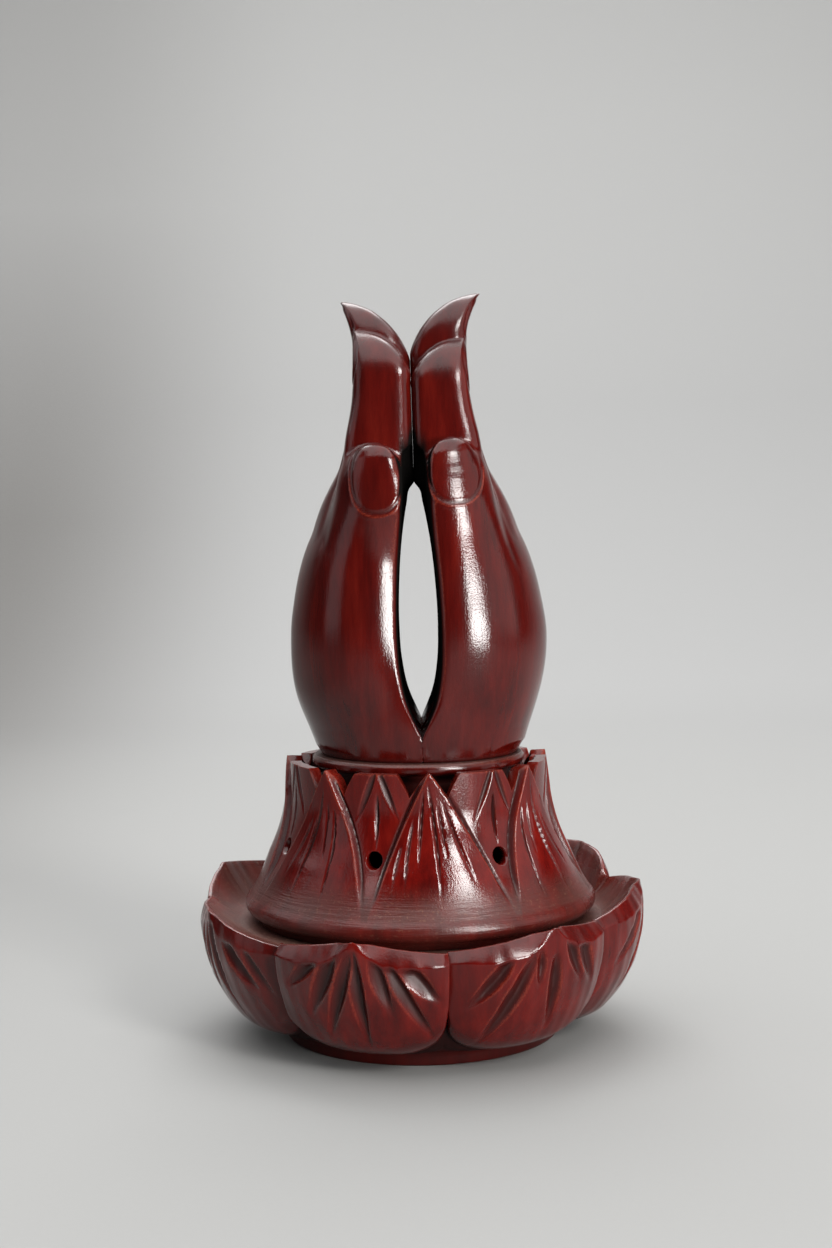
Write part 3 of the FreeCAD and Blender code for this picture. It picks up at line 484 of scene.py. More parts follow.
pan_corners = ((0.5, PAN_FLOOR), (37.7, PAN_FLOOR), (42.0, PAN_SEAT_HEIGHT), (PAN_FLANGE, PAN_SEAT_HEIGHT),
               (PAN_FLANGE, PAN_SEAT_HEIGHT + PAN_SHEET), (41.5, PAN_SEAT_HEIGHT + PAN_SHEET),
               (37.1, PAN_FLOOR + PAN_SHEET), (0.5, PAN_FLOOR + PAN_SHEET))
pan_round = full_turn(240)
pan_radius, pan_height = spun(rounded_corners(pan_corners, PAN_BEND), pan_round)
ash_pan = turned_piece("ash_pan_spun", pan_radius, pan_height, pan_round)


def plain_surface(add, colour, rough, normal, metallic=0.0):
    """Surface of a material without lacquer, joined to its output."""
    inputs = {"Base Color": colour, "Metallic": metallic, "Roughness": rough, "Normal": normal}
    shader = add("BsdfPrincipled", inputs)
    add("OutputMaterial", {"Surface": shader.outputs["BSDF"]})
    return shader


def aged_brass(name):
    """Spun brass: ring-shaped brush marks in the relief, brown heat stains in large clouds."""
    brown, dull, bright = (0.16, 0.085, 0.030), (0.50, 0.33, 0.115), (0.62, 0.44, 0.18)
    material, add, place = new_material(name)
    split = add("SeparateXYZ", {"Vector": place}).outputs
    flat = add("CombineXYZ", {"X": split["X"], "Y": split["Y"]}).outputs["Vector"]
    reach = add("VectorMath", {0: flat}, operation="LENGTH").outputs["Value"]
    ring = reckon(add, "ADD", reach, split["Z"])
    rings = add("TexNoise", {"W": ring, "Scale": 2600.0, "Detail": 3.0}, noise_dimensions="1D").outputs["Fac"]
    stain = noise(add, place, 55.0, 5.0, 0.6)
    colour = ramp(add, stain, (0.32, brown), (0.55, dull), (0.8, bright))
    rough = spread(add, stain, 0.3, 0.7, 0.5, 0.27)
    plain_surface(add, colour, rough, relief(add, rings, 0.25, 0.0002), metallic=1.0)
    return material


pan_brass = aged_brass("pan_aged_brass")
ash_pan.data.materials.append(pan_brass)
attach(ash_pan, "dish")
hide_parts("ash_pan")

# Pan tacks: three domed brass tacks driven through the pan's flange into the step of the well,
# with a tapered point that stays in the wood.
TACK_CIRCLE, TACK_TURNS_FROM_BACK = 44.5, (0.0, 120.0, 240.0)
TACK_HEAD, TACK_DOME, TACK_SHANK = 1.5, 0.72, 0.6
tack_round = full_turn(28)
tack_profile = [(0.05, 18.95), (TACK_SHANK, 20.2), (TACK_SHANK, 25.9), (1.42, 25.92)]
for dome_turn in np.linspace(0.0, 0.5 * math.pi, 7):
    tack_profile.append((TACK_HEAD * math.cos(dome_turn) + 0.02, 25.98 + TACK_DOME * math.sin(dome_turn)))


def put_copies(name, points, ends, places, **settings):
    """One mesh of equal bodies from rows of points round an axis, two end points and the copies' places."""
    rows, columns = points.shape[:2]
    grid = rows * columns
    body = np.concatenate([points.reshape(-1, 3), ends])
    faces = []
    for first in range(0, len(places) * len(body), len(body)):
        faces.append(turned_faces(rows, columns, first))
        faces.append(end_faces(columns, first, first + grid, True))
        faces.append(end_faces(columns, first + grid - columns, first + grid + 1, False))
    return put_mesh(name, np.concatenate([body + place for place in places]), faces, **settings)


tack_radius, tack_height = spun(tack_profile, tack_round)
tack_points = turned_points(tack_radius, tack_height, tack_round)
tack_ends = [[0.0, 0.0, tack_height[0, 0]], [0.0, 0.0, tack_height[-1, 0]]]
tack_turns = np.radians(TACK_TURNS_FROM_BACK) + math.pi
tack_places = [(TACK_CIRCLE * math.sin(a), -TACK_CIRCLE * math.cos(a), 0.0) for a in tack_turns]
pan_tacks = put_copies("pan_tacks_domed", tack_points, tack_ends, tack_places)
pan_tacks.data.materials.append(pan_brass)
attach(pan_tacks, "dish")
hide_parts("pan_tacks")

# Fibre mat: a disc of coarse fire-proof felt that lies on the pan floor and carries the coil.
# Cut with a knife, so its edge is a little ragged, and greyed by ash in the middle.
MAT_FLOOR, MAT_TOP = 14.42, 17.4
MAT_RAGGED, MAT_TUFT = 0.22, 0.16
mat_round = full_turn(300)
# Rows of the mat from below: radius, and height as a share of the thickness
mat_steps = [(0.5, 0.0), (12.0, 0.0), (24.0, 0.0), (33.5, 0.0), (34.6, 0.02), (34.9, 0.2), (34.9, 0.5),
             (34.85, 0.8), (34.3, 0.97)]
mat_steps += [(r, 1.0) for r in np.linspace(33.4, 0.5, 60)]
mat_radius, mat_share = spun(mat_steps, mat_round)
ragged = MAT_RAGGED * np.sin(37.0 * mat_round) * np.sin(11.0 * mat_round + 1.0) - 0.1
mat_radius = mat_radius + ragged * ease(33.0, 34.5, mat_radius)
tufts = np.sin(1.9 * mat_radius + 3.0 * np.sin(9.0 * mat_round)) * np.sin(23.0 * mat_round + 0.7 * mat_radius)
mat_height = MAT_FLOOR + mat_share * (MAT_TOP - MAT_FLOOR)
mat_height = mat_height - MAT_TUFT * (1.0 + tufts) * ease(0.9, 1.0, mat_share)
fibre_mat = turned_piece("fibre_mat_felt", mat_radius, mat_height, mat_round)


def ash_felt(name):
    """Coarse mineral felt: crossed fibres from stretched noise, grey ash in the middle."""
    shadow, fibre, bright = (0.30, 0.27, 0.22), (0.58, 0.54, 0.46), (0.72, 0.69, 0.62)
    ash_grey = (0.28, 0.27, 0.26)
    material, add, place = new_material(name)
    layers = []
    for squeeze, turn in (((1.0, 0.12, 1.0), 0.6), ((0.12, 1.0, 1.0), -0.4)):
        laid = add("Mapping", {"Vector": place, "Scale": squeeze, "Rotation": (0.0, 0.0, turn)})
        layers.append(noise(add, laid.outputs["Vector"], 900.0, 4.0))
    fibres = reckon(add, "MAXIMUM", *layers)
    colour = ramp(add, fibres, (0.42, shadow), (0.58, fibre), (0.75, bright))
    distance = add("VectorMath", {0: place}, operation="LENGTH").outputs["Value"]
    colour = blend_colour(add, spread(add, distance, 0.034, 0.018, 0.0, 0.6), colour, ash_grey)
    shader = plain_surface(add, colour, 0.95, relief(add, fibres, 0.7, 0.0008))
    shader.inputs["Sheen Weight"].default_value = 0.3
    return material


fibre_mat.data.materials.append(ash_felt("mat_ash_felt"))
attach(fibre_mat, "dish")
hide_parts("fibre_mat")

# Smoke cover: a bell turned from one block, its neck carved into seven outer petals that stand
# proud of seven inner ones, their tips cut free as a crown. Seven drilled holes let the smoke out,
# a rebate under the skirt drops into the well of the dish, and the deck takes the plinth's spigot.
COVER_PETAL_TURNS = (4.2, 52.0, 105.0, 157.5, 210.0, 263.0, 318.2)
COVER_HOLE_TURNS = (33.2, 81.5, 132.0, 184.0, 236.5, 290.5, 342.0)
COVER_COLUMNS = 60
COVER_ROWS = 78
SKIRT_SHOULDER, CROWN_TOP = 43.2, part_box("smoke_cover")[1].z / MM
NECK_RADIUS, CROWN_INSIDE = 38.7, 35.1
DECK_TOP, DECK_UNDERSIDE, DECK_BORE = CROWN_TOP - 7.5, CROWN_TOP - 14.5, 16.25
HOLE_HEIGHT, HOLE_RADIUS, HOLE_START, HOLE_END = 58.0, 2.5, 30.0, 52.0
# Veins of the front petal and of the other ones: start side and height, end side and height, half width,
# depth, bow; the ones on the right are turned over
FRONT_VEINS = ((-1.6, 77.5, -3.6, 55.5, 0.55, 0.75, 0.0), (-4.4, 69.5, -7.8, 49.5, 0.5, 0.65, 0.3),
               (-0.4, 79.5, 2.6, 47.0, 0.6, 0.9, -0.4), (2.2, 73.0, 4.3, 58.5, 0.5, 0.6, 0.0),
               (3.6, 74.0, 12.6, 51.0, 0.55, 0.75, 0.4), (-7.6, 63.0, -11.4, 50.0, 0.45, 0.5, 0.3))
SIDE_VEINS = ((3.2, 72.0, 4.6, 46.0, 0.55, 0.8, -0.8), (-0.6, 77.0, -8.2, 44.8, 0.6, 0.85, -1.0),
              (-4.6, 68.0, -12.8, 51.5, 0.5, 0.7, -0.4), (1.2, 73.0, 1.7, 57.0, 0.45, 0.55, 0.0),
              (-2.6, 69.0, -5.8, 56.0, 0.4, 0.5, -0.2))
# Chevron of an inner petal, one broad cut each side of the middle, and the leaf-shaped vein above the hole
INNER_CHEVRON = ((0.2, 83.5, 6.6, 68.0, 1.15, 0.9, 0.2), (-0.2, 83.5, -6.6, 68.0, 1.15, 0.9, -0.2),
                 (0.0, 76.0, 0.0, 60.5, 0.8, 1.0, 0.0))


def cover_wall(height):
    """Outer line above the shoulder: a cone to the flare's foot, then a sweep of power 1.9 to the neck."""
    wide, foot, foot_height, neck_height, power = 50.4, 44.6, 52.4, 72.0, 1.9
    cone = wide + (foot - wide) * (height - SKIRT_SHOULDER) / (foot_height - SKIRT_SHOULDER)
    sweep = np.clip((neck_height - height) / (neck_height - foot_height), 0.0, 1.0)
    hollow = NECK_RADIUS + (foot - NECK_RADIUS) * sweep ** power
    return np.where(height < foot_height, cone, hollow)


def outer_half(height):
    """Half width of an outer petal as it widens below its tip: 18 (drop / 33.5)^0.95."""
    half, length, power, tip_height = 18.0, 33.5, 0.95, CROWN_TOP + 0.4
    return half * np.clip((tip_height - height) / length, 0.0, 1.2) ** power


def crown_edge(side):
    """Top edge of the crown: outer tip, notch 5.6 mm beside it, then the inner petal's blunt top."""
    notch, notch_fall, inner_start = 5.6, 7.2, 9.2
    fall = notch_fall * np.clip(side / notch, 0.0, 1.0) ** 1.15
    climb = (notch_fall - 0.5) * np.clip((side - notch) / (inner_start - notch), 0.0, 1.0) ** 0.8
    return CROWN_TOP - fall + climb


def cover_strip(number):
    """Turns of one sector's columns, and rows of its radius, height, shade and wear.

    A sector runs from the middle of an inner petal through an outer one to the middle of the next inner one.
    """
    edge_proud, middle_proud, groove_deep, inner_sunk, full_cut = 1.25, 0.5, 0.55, 0.5, 0.7
    middle = COVER_PETAL_TURNS[number]
    before = COVER_HOLE_TURNS[number - 1] - (360.0 if number == 0 else 0.0)
    after = COVER_HOLE_TURNS[number]
    reach = np.concatenate([np.linspace(-1.0, 0.0, COVER_COLUMNS, endpoint=False),
                            np.linspace(0.0, 1.0, COVER_COLUMNS, endpoint=False)])
    half_turn = np.radians(np.where(reach < 0.0, middle - before, after - middle))
    stretch = half_turn * len(COVER_PETAL_TURNS) / math.pi
    turn = math.radians(middle) + reach * half_turn
    side = np.abs(reach) * half_turn * NECK_RADIUS
    top = crown_edge(side)
    step = np.linspace(0.0, 1.0, COVER_ROWS)[:, None]
    height = SKIRT_SHOULDER + step * (top - SKIRT_SHOULDER)
    wall = cover_wall(height)
    arc = reach * half_turn * wall
    inner_arc = np.sign(arc) * (np.abs(arc) - half_turn * wall)
    inside = outer_half(height) * stretch - np.abs(arc)
    fade = ease(44.5, 56.0, height)
    proud = edge_proud * fade * ease(-0.45, 0.25, inside) + middle_proud * fade * ease(0.0, 9.0, inside)
    groove = groove_deep * ease(45.5, 52.0, height) * np.exp(-((inside + 0.55) / 0.5) ** 2)
    veins = FRONT_VEINS if number == 0 else SIDE_VEINS
    vein_cut, vein_lip = gouge_cuts(-arc if number in (1, 2, 3) else arc, height, veins)
    inner_cut, inner_lip = gouge_cuts(inner_arc, height, INNER_CHEVRON)
    on_outer = ease(0.2, 0.8, inside)
    on_inner = ease(0.2, 0.8, -inside)
    cut = vein_cut * on_outer + inner_cut * on_inner + groove
    lip = np.maximum(vein_lip * on_outer, inner_lip * on_inner)
    # Outer petals' edges rubbed lighter: wear and painted highlight
    edge = ease(46.0, 54.0, height) * np.exp(-((inside - 0.35) / 0.4) ** 2)
    lathe = 0.05 * np.sin(4.2 * height) * (1.0 - ease(44.0, 50.0, height))
    radius = wall + proud - inner_sunk * on_inner * fade - cut + lathe
    worn = np.maximum(0.7 * lip, 0.9 * edge) + 0.8 * ease(0.975, 1.0, step)
    # Painted shade in the cuts and beside the outer petals' edges; the skirt below 54 mm is darker and duller
    shade = np.clip(cut / full_cut, 0.0, 1.0) + 0.45 * on_inner * np.exp(-((inside + 0.8) / 1.2) ** 2)
    shade = shade + 0.35 * ease(54.0, 45.0, height)
    return turn, radius, height, np.clip(shade, 0.0, 1.0), np.clip(worn, 0.0, 1.0)


def cover_rows():
    """Rows of the cover: deck bore, hollow, rebate, skirt, petals, crown and back over the deck.

    Gives grids of radius, height, cut (painted shade), worn (wear and painted highlight), dust and soot,
    and the turn of each column.
    """
    inside = ((DECK_BORE, 71.0), (DECK_BORE, DECK_UNDERSIDE + 0.4), (DECK_BORE + 0.4, DECK_UNDERSIDE),
              (26.0, DECK_UNDERSIDE), (33.5, DECK_UNDERSIDE), (34.6, DECK_UNDERSIDE - 0.9), (37.4, 59.0),
              (40.2, 52.4), (42.4, 43.2), (42.4, 36.0), (42.4, 30.4), (42.8, 30.0), (45.8, 30.0),
              (46.2, 30.4), (46.2, 34.1), (46.5, 34.5), (48.3, 34.5), (48.7, 34.8), (49.4, 36.3),
              (50.4, 37.0), (51.5, 37.8), (52.05, 38.7), (52.3, 39.6), (52.2, 40.6), (51.75, 41.5),
              (51.05, 42.4))
    crown_steps, crown_wall = ((0.4, -0.05), (3.2, 0.0), (3.6, 0.5)), 3.6
    # Rows over the deck: radius, height, painted shade, and soot that paints black shade by the crown's wall
    deck = ((CROWN_INSIDE, DECK_TOP + 0.4, 0.9, 0.25), (CROWN_INSIDE - 0.4, DECK_TOP, 0.9, 0.25),
            (26.0, DECK_TOP, 0.6, 0.0), (DECK_BORE + 0.4, DECK_TOP, 0.5, 0.0),
            (DECK_BORE, DECK_TOP - 0.4, 0.5, 0.0))
    strips = []
    for number in range(len(COVER_PETAL_TURNS)):
        turn, radius, height, shade, worn = cover_strip(number)
        flat = np.zeros_like(turn)
        rows = []
        # Hollow, rebate and skirt's underside: painted shade, less on the skirt's edge; soot in the hollow
        for r, h in inside:
            on_skirt, in_hollow = r > 50.0, r < 45.0
            dark, soot = 0.5 - 0.25 * on_skirt, ease(34.0, 40.0, h) * in_hollow
            rows.append((flat + r, flat + h, flat + dark, flat, flat + 0.2, flat + soot))
        for r, h, s, w in zip(radius, height, shade, worn):
            rows.append((r, h, s, w, 0.4 * ease(54.0, 44.0, h), flat))
        # Crown's top edge rubbed lighter: wear and painted highlight
        for inset, fall in crown_steps:
            inner = np.minimum(radius[-1] - inset, CROWN_INSIDE + crown_wall - inset)
            rows.append((inner, height[-1] - fall, flat, flat + 0.5, flat, flat))
        for r, h, dark, soot in deck:
            rows.append((flat + r, flat + h, flat + dark, flat, flat, flat + soot))
        strips.append((rows, turn))
    return joined(strips)


def bored_piece(name, radius, height, turn, **marks):
    """Closed piece with a bore: the last row of the grid joins the first one."""
    rows, columns = radius.shape
    points = turned_points(radius, height, turn).reshape(-1, 3)
    near = np.arange(columns)
    far = (near + 1) % columns
    last = (rows - 1) * columns
    closing = np.stack([last + near, last + far, far, near], -1)
    return put_mesh(name, points, [turned_faces(rows, columns), closing], **marks)


def drill(piece, cutters):
    """Cuts the cutter pieces out of a piece and keeps the result as its mesh."""
    for cutter in cutters:
        tool = piece.modifiers.new("drilled", "BOOLEAN")
        tool.operation = "DIFFERENCE"
        tool.solver = "EXACT"
        tool.object = cutter
    bpy.context.view_layer.update()
    shape = piece.evaluated_get(bpy.context.evaluated_depsgraph_get())
    mesh = bpy.data.meshes.new_from_object(shape)
    piece.modifiers.clear()
    old = piece.data
    piece.data = mesh
    bpy.data.meshes.remove(old)
    for cutter in cutters:
        bpy.data.meshes.remove(cutter.data)


def drill_bit(name, radius, start, end):
    """Round bit from one point to another: two rings square to its axis, with closed ends."""
    sides = 40
    start, end = np.array(start, float), np.array(end, float)
    axis = (end - start) / np.linalg.norm(end - start)
    across = np.cross(axis, (0.0, 0.0, 1.0) if abs(axis[2]) < 0.9 else (1.0, 0.0, 0.0))
    across = across / np.linalg.norm(across)
    other = np.cross(axis, across)
    turn = full_turn(sides)[:, None]
    ring = radius * (np.cos(turn) * across + np.sin(turn) * other)
    points = np.concatenate([start + ring, end + ring, [start, end]])
    faces = [turned_faces(2, sides), end_faces(sides, 0, 2 * sides, True)]
    faces.append(end_faces(sides, sides, 2 * sides + 1, False))
    none = np.zeros(len(points))
    # Drilled walls: painted shade, and black that is soot in the smoke holes and painted shade in the screw
    # holes
    return put_mesh(name, points, faces, cut=none + 0.8, worn=none, dust=none, soot=none + 1.0)


cover_radius, cover_height, cover_painted_shade, cover_worn_and_lit, cover_dust, cover_soot, cover_turn = cover_rows()
smoke_cover = bored_piece("smoke_cover_carved", cover_radius, cover_height, cover_turn,
                          cut=cover_painted_shade, worn=cover_worn_and_lit, dust=cover_dust, soot=cover_soot)
hole_bits = []
hole_centre = np.array([0.0, 0.0, HOLE_HEIGHT])
for hole_turn in np.radians(COVER_HOLE_TURNS):
    outward = np.array([math.sin(hole_turn), -math.cos(hole_turn), 0.0])
    bit_start, bit_end = hole_centre + HOLE_START * outward, hole_centre + HOLE_END * outward
    hole_bits.append(drill_bit("smoke_hole_bit", HOLE_RADIUS, bit_start, bit_end))
drill(smoke_cover, hole_bits)
smoke_cover.data.materials.append(red_lacquer("cover_red_lacquer", (1.0, 1.0, 0.16), 1.2, 1.43, 0.2))
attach(smoke_cover, "cover")
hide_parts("smoke_cover")

# Plinth: the turned round that the hands stand on, a beaded rim over an undercut shoulder, with
# a spigot that drops into the deck and a bore that leads the smoke up into the palms.
SCREW_OFFSET, SCREW_HOLE_RADIUS, HEAD_HOLE_RADIUS = 20.5, 1.8, 3.6
PLINTH_TOP, PLINTH_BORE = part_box("plinth")[1].z / MM, 6.0
RIM_FOOT = PLINTH_TOP - 3.4
SPIGOT_RADIUS, WAIST_RADIUS, RIM_RADIUS = 16.0, 27.0, 31.5
plinth_corners = ((PLINTH_BORE, DECK_TOP + 0.5), (PLINTH_BORE, DECK_UNDERSIDE),
                  (SPIGOT_RADIUS, DECK_UNDERSIDE), (SPIGOT_RADIUS, DECK_TOP), (WAIST_RADIUS, DECK_TOP),
                  (WAIST_RADIUS, DECK_TOP + 3.1), (28.2, RIM_FOOT), (30.6, RIM_FOOT),
                  (RIM_RADIUS, RIM_FOOT + 0.9), (RIM_RADIUS, PLINTH_TOP - 1.0), (30.7, PLINTH_TOP),
                  (PLINTH_BORE, PLINTH_TOP), (PLINTH_BORE, DECK_TOP + 1.5))
plinth_profile = rounded_corners(plinth_corners, 0.45)
plinth_round = full_turn(256)
plinth_radius, plinth_height = spun(plinth_profile, plinth_round)
# Painted shade under the rim's overhang and on the ring of the top under the palms
plinth_painted_shade = 0.75 * ease(RIM_FOOT + 1.2, RIM_FOOT - 0.4, plinth_height)
plinth_painted_shade = plinth_painted_shade + 0.85 * ease(PLINTH_TOP - 0.2, PLINTH_TOP, plinth_height)
# The rim's upper edge rubbed lighter: wear and painted highlight
plinth_rim_wear_and_highlight = 0.5 * np.exp(-((plinth_height - PLINTH_TOP + 0.8) / 0.5) ** 2) * (plinth_radius > 30.0)
plinth_soot = ease(7.5, 6.2, plinth_radius)
plinth_dust = 0.45 * ease(PLINTH_TOP - 1.3, PLINTH_TOP - 0.3, plinth_height)
plinth = bored_piece("plinth_turned", plinth_radius, plinth_height, plinth_round,
                     cut=plinth_painted_shade, worn=plinth_rim_wear_and_highlight, soot=plinth_soot, dust=plinth_dust)
screw_bits = []
for screw_side in (-SCREW_OFFSET, SCREW_OFFSET):
    below, above = (screw_side, 0.0, DECK_TOP - 3.5), (screw_side, 0.0, PLINTH_TOP + 2.6)
    screw_bits.append(drill_bit("screw_bit", SCREW_HOLE_RADIUS, below, above))
    screw_bits.append(drill_bit("screw_head_bit", HEAD_HOLE_RADIUS, below, (screw_side, 0.0, DECK_TOP + 0.7)))
drill(plinth, screw_bits)
plinth.data.materials.append(red_lacquer("plinth_red_lacquer", (1.0, 1.0, 0.3), 0.85, 1.43))
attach(plinth, "hands")
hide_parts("plinth")

# Hand screws: two slotted countersunk wood screws, driven up through the plinth into the wrists.
# Plain steel, dulled, with a rolled thread on two thirds of their length.
SCREW_FOOT, SCREW_TIP = DECK_TOP + 0.06, DECK_TOP + 22.0
HEAD_RADIUS, HEAD_DEEP, SLOT_DEEP, SLOT_HALF, SLOT_TURN = 3.5, 1.9, 0.7, 0.45, 0.4
CORE_RADIUS, THREAD_RISE, THREAD_PITCH = 1.2, 0.5, 1.4
screw_turn = full_turn(48)
screw_length = np.concatenate([np.linspace(0.0, HEAD_DEEP, 8), np.linspace(2.0, 21.9, 200)])[:, None]
head_cone = np.clip(HEAD_RADIUS - 1.75 * screw_length / HEAD_DEEP, 1.25, None)
thread_phase = np.mod(screw_length / THREAD_PITCH - screw_turn / (2.0 * math.pi), 1.0)
thread = np.clip(1.0 - np.abs(thread_phase - 0.5) * 4.0, 0.0, 1.0) * ease(7.5, 9.0, screw_length)
point = 1.0 - 0.9 * np.clip((screw_length - 17.0) / 4.9, 0.0, 1.0) ** 1.5
shank_radius = np.where(screw_length < 2.0, head_cone, (CORE_RADIUS + THREAD_RISE * thread) * point)
face_radius = np.linspace(0.2, 3.3, 14)[:, None] + 0.0 * screw_turn
slot_depth = SLOT_DEEP * (np.abs(face_radius * np.sin(screw_turn + SLOT_TURN)) < SLOT_HALF)
screw_radius = np.concatenate([face_radius, shank_radius])
screw_height = np.concatenate([SCREW_FOOT + slot_depth, SCREW_FOOT + screw_length + 0.0 * screw_turn])
screw_points = turned_points(screw_radius, screw_height, screw_turn)
screw_ends = [[0.0, 0.0, SCREW_FOOT + SLOT_DEEP], [0.0, 0.0, SCREW_TIP]]
screw_places = [(screw_side, 0.0, 0.0) for screw_side in (-SCREW_OFFSET, SCREW_OFFSET)]
hand_screws = put_copies("hand_screws_slotted", screw_points, screw_ends, screw_places, sharp_degrees=35.0)


def dull_steel(name):
    """Plain screw steel: grey metal with fine scratches and slightly uneven dullness."""
    material, add, place = new_material(name)
    scratch = noise(add, place, 1400.0, 4.0)
    colour = ramp(add, scratch, (0.35, (0.30, 0.30, 0.31)), (0.7, (0.52, 0.52, 0.53)))
    rough = spread(add, scratch, 0.0, 1.0, 0.28, 0.5)
    plain_surface(add, colour, rough, relief(add, scratch, 0.1, 0.0001), metallic=1.0)
    return material


hand_screws.data.materials.append(dull_steel("screw_dull_steel"))
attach(hand_screws, "hands")
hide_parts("hand_screws")

# Wrist dowels: two short beech dowels across the seam that hold the wrists together,
# fluted for the glue and chamfered at both ends.
DOWEL_HALF, DOWEL_RADIUS, DOWEL_HEIGHT, DOWEL_SIDES = 11.0, 2.0, PLINTH_TOP + 4.0, (-17.0, 17.0)
FLUTE_COUNT, FLUTE_DEEP, CHAMFER_DEEP = 12.0, 0.05, 0.22
dowel_turn = full_turn(60)
dowel_place = np.array([-11.0, -10.95, -10.4, -9.8, -5.0, 0.0, 5.0, 9.8, 10.4, 10.95, 11.0])[:, None]
dowel_out = np.abs(dowel_place)
dowel_chamfer = 1.0 - CHAMFER_DEEP * ease(10.2, DOWEL_HALF, dowel_out)
dowel_flute = FLUTE_DEEP * np.clip(np.cos(FLUTE_COUNT * dowel_turn), 0.0, 1.0)
dowel_flute = dowel_flute * (1.0 - ease(9.6, 10.4, dowel_out))
dowel_radius = DOWEL_RADIUS * dowel_chamfer * (1.0 - dowel_flute)
dowel_points = np.stack([dowel_place + 0.0 * dowel_radius, dowel_radius * np.cos(dowel_turn),
                         dowel_radius * np.sin(dowel_turn)], -1)
dowel_ends = [[-DOWEL_HALF, 0.0, 0.0], [DOWEL_HALF, 0.0, 0.0]]
dowel_places = [(0.0, dowel_side, DOWEL_HEIGHT) for dowel_side in DOWEL_SIDES]
wrist_dowels = put_copies("wrist_dowels_fluted", dowel_points, dowel_ends, dowel_places)


def bare_beech(name):
    """Bare beech: pale brown with short darker flecks along the dowel."""
    fleck_brown, beech, pale = (0.30, 0.18, 0.09), (0.52, 0.36, 0.20), (0.60, 0.44, 0.27)
    material, add, place = new_material(name)
    stretched = add("Mapping", {"Vector": place, "Scale": (0.15, 1.0, 1.0)}).outputs["Vector"]
    fleck = noise(add, stretched, 1700.0, 3.0)
    colour = ramp(add, fleck, (0.35, fleck_brown), (0.5, beech), (0.75, pale))
    plain_surface(add, colour, 0.72, relief(add, fleck, 0.2, 0.0002))
    return material


wrist_dowels.data.materials.append(bare_beech("dowel_bare_beech"))
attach(wrist_dowels, "hands")
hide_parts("wrist_dowels")

# Hands: two hands held palm to palm, each carved from one block of wood with its thumb, four
# tapering fingers and nails, and hollowed inside the palm. Their wrists meet in a fine seam on the
# plinth, the palms stand apart in a long leaf-shaped gap, and smoke has blackened the inside.
WRIST_HEIGHT = PLINTH_TOP
HAND_OFFSET, HAND_LEAN = 1.3, math.tan(math.radians(0.95))
CARVING_STEP = 0.58
# Hollow in the palms: height of its middle, its half sizes, those of what smoke blackens, top of the flue
HOLLOW_HEIGHT, HOLLOW_HALF, SOOT_HALF, FLUE_TOP = 120.6, (13.0, 21.0, 29.0), (14.0, 22.5, 30.5), 110.0


def along(z, heights, values):
    """Smooth curve through (height, value) stations: cubic pieces with slopes taken from the neighbours."""
    h, v = np.asarray(heights, float), np.asarray(values, float)
    slope = np.gradient(v, h)
    piece = np.clip(np.searchsorted(h, z) - 1, 0, len(h) - 2)
    width = h[piece + 1] - h[piece]
    t = np.clip((z - h[piece]) / width, 0.0, 1.0)
    start = (1.0 + 2.0 * t) * (1.0 - t) ** 2 * v[piece] + t * (1.0 - t) ** 2 * width * slope[piece]
    return start + t * t * (3.0 - 2.0 * t) * v[piece + 1] + t * t * (t - 1.0) * width * slope[piece + 1]


def soft_union(one, two, size):
    """Union of two distances with a fillet: min less (size - gap)^2 / (4 size)."""
    return np.minimum(one, two) - np.clip(size - np.abs(one - two), 0.0, None) ** 2 / (4.0 * size)


def soft_common(one, two, size):
    """What two distances share, with a rounded edge."""
    return -soft_union(-one, -two, size)


def oval_column(x, y, middle_x, middle_y, half_x, half_y, power):
    """Distance to an upright column whose section is a superellipse: (rho - 1) / slope of rho."""
    across = np.abs(x - middle_x) / half_x
    deep = np.abs(y - middle_y) / half_y
    rho = np.maximum((across ** power + deep ** power) ** (1.0 / power), 0.02)
    slope = rho ** (1.0 - power) * np.hypot(across ** (power - 1.0) / half_x, deep ** (power - 1.0) / half_y)
    return (rho - 1.0) / np.maximum(slope, 1e-4)


# Stations of the palm: height, half width to the outside, half depth front to back
PALM_HEIGHTS = (WRIST_HEIGHT, 90.8, 97.8, 104.8, 111.8, 118.8, 129.8, 136.8, 143.8, 150.8, 158.3, 165.3,
                172.8, 181.0)
PALM_HALF = (28.3, 31.4, 34.2, 36.3, 37.6, 38.0, 36.6, 35.1, 32.9, 29.8, 26.6, 23.2, 18.0, 12.0)
PALM_DEPTH = (28.3, 29.6, 30.6, 31.4, 31.9, 32.0, 31.2, 30.4, 29.0, 27.0, 24.6, 21.5, 17.0, 11.0)
# Half width of the gap between the palms, and of its front part between the thumbs
GAP_HEIGHTS = (WRIST_HEIGHT, 90.6, 94.0, 99.0, 109.0, 119.0, 133.0, 149.0, 158.0, 162.0, 164.0, 168.0, 172.0,
               175.0, 225.0)
GAP_HALF = (0.02, 0.02, 1.5, 3.5, 5.5, 6.0, 5.6, 4.0, 2.4, 1.5, 0.02, 0.02, 0.02, 0.02, 0.02)
FRONT_GAP_HALF = (0.02, 0.02, 1.5, 3.5, 5.5, 6.0, 5.6, 4.2, 3.5, 3.3, 3.3, 3.2, 2.8, 0.02, 0.02)
# Line of the fingers' backs above the palm: height and distance from the seam
BACK_HEIGHTS = PALM_HEIGHTS[:12] + (172.4, 179.5, 186.6, 197.0)
BACK_REACH = PALM_HALF[:12] + (20.6, 18.7, 17.3, 16.6)
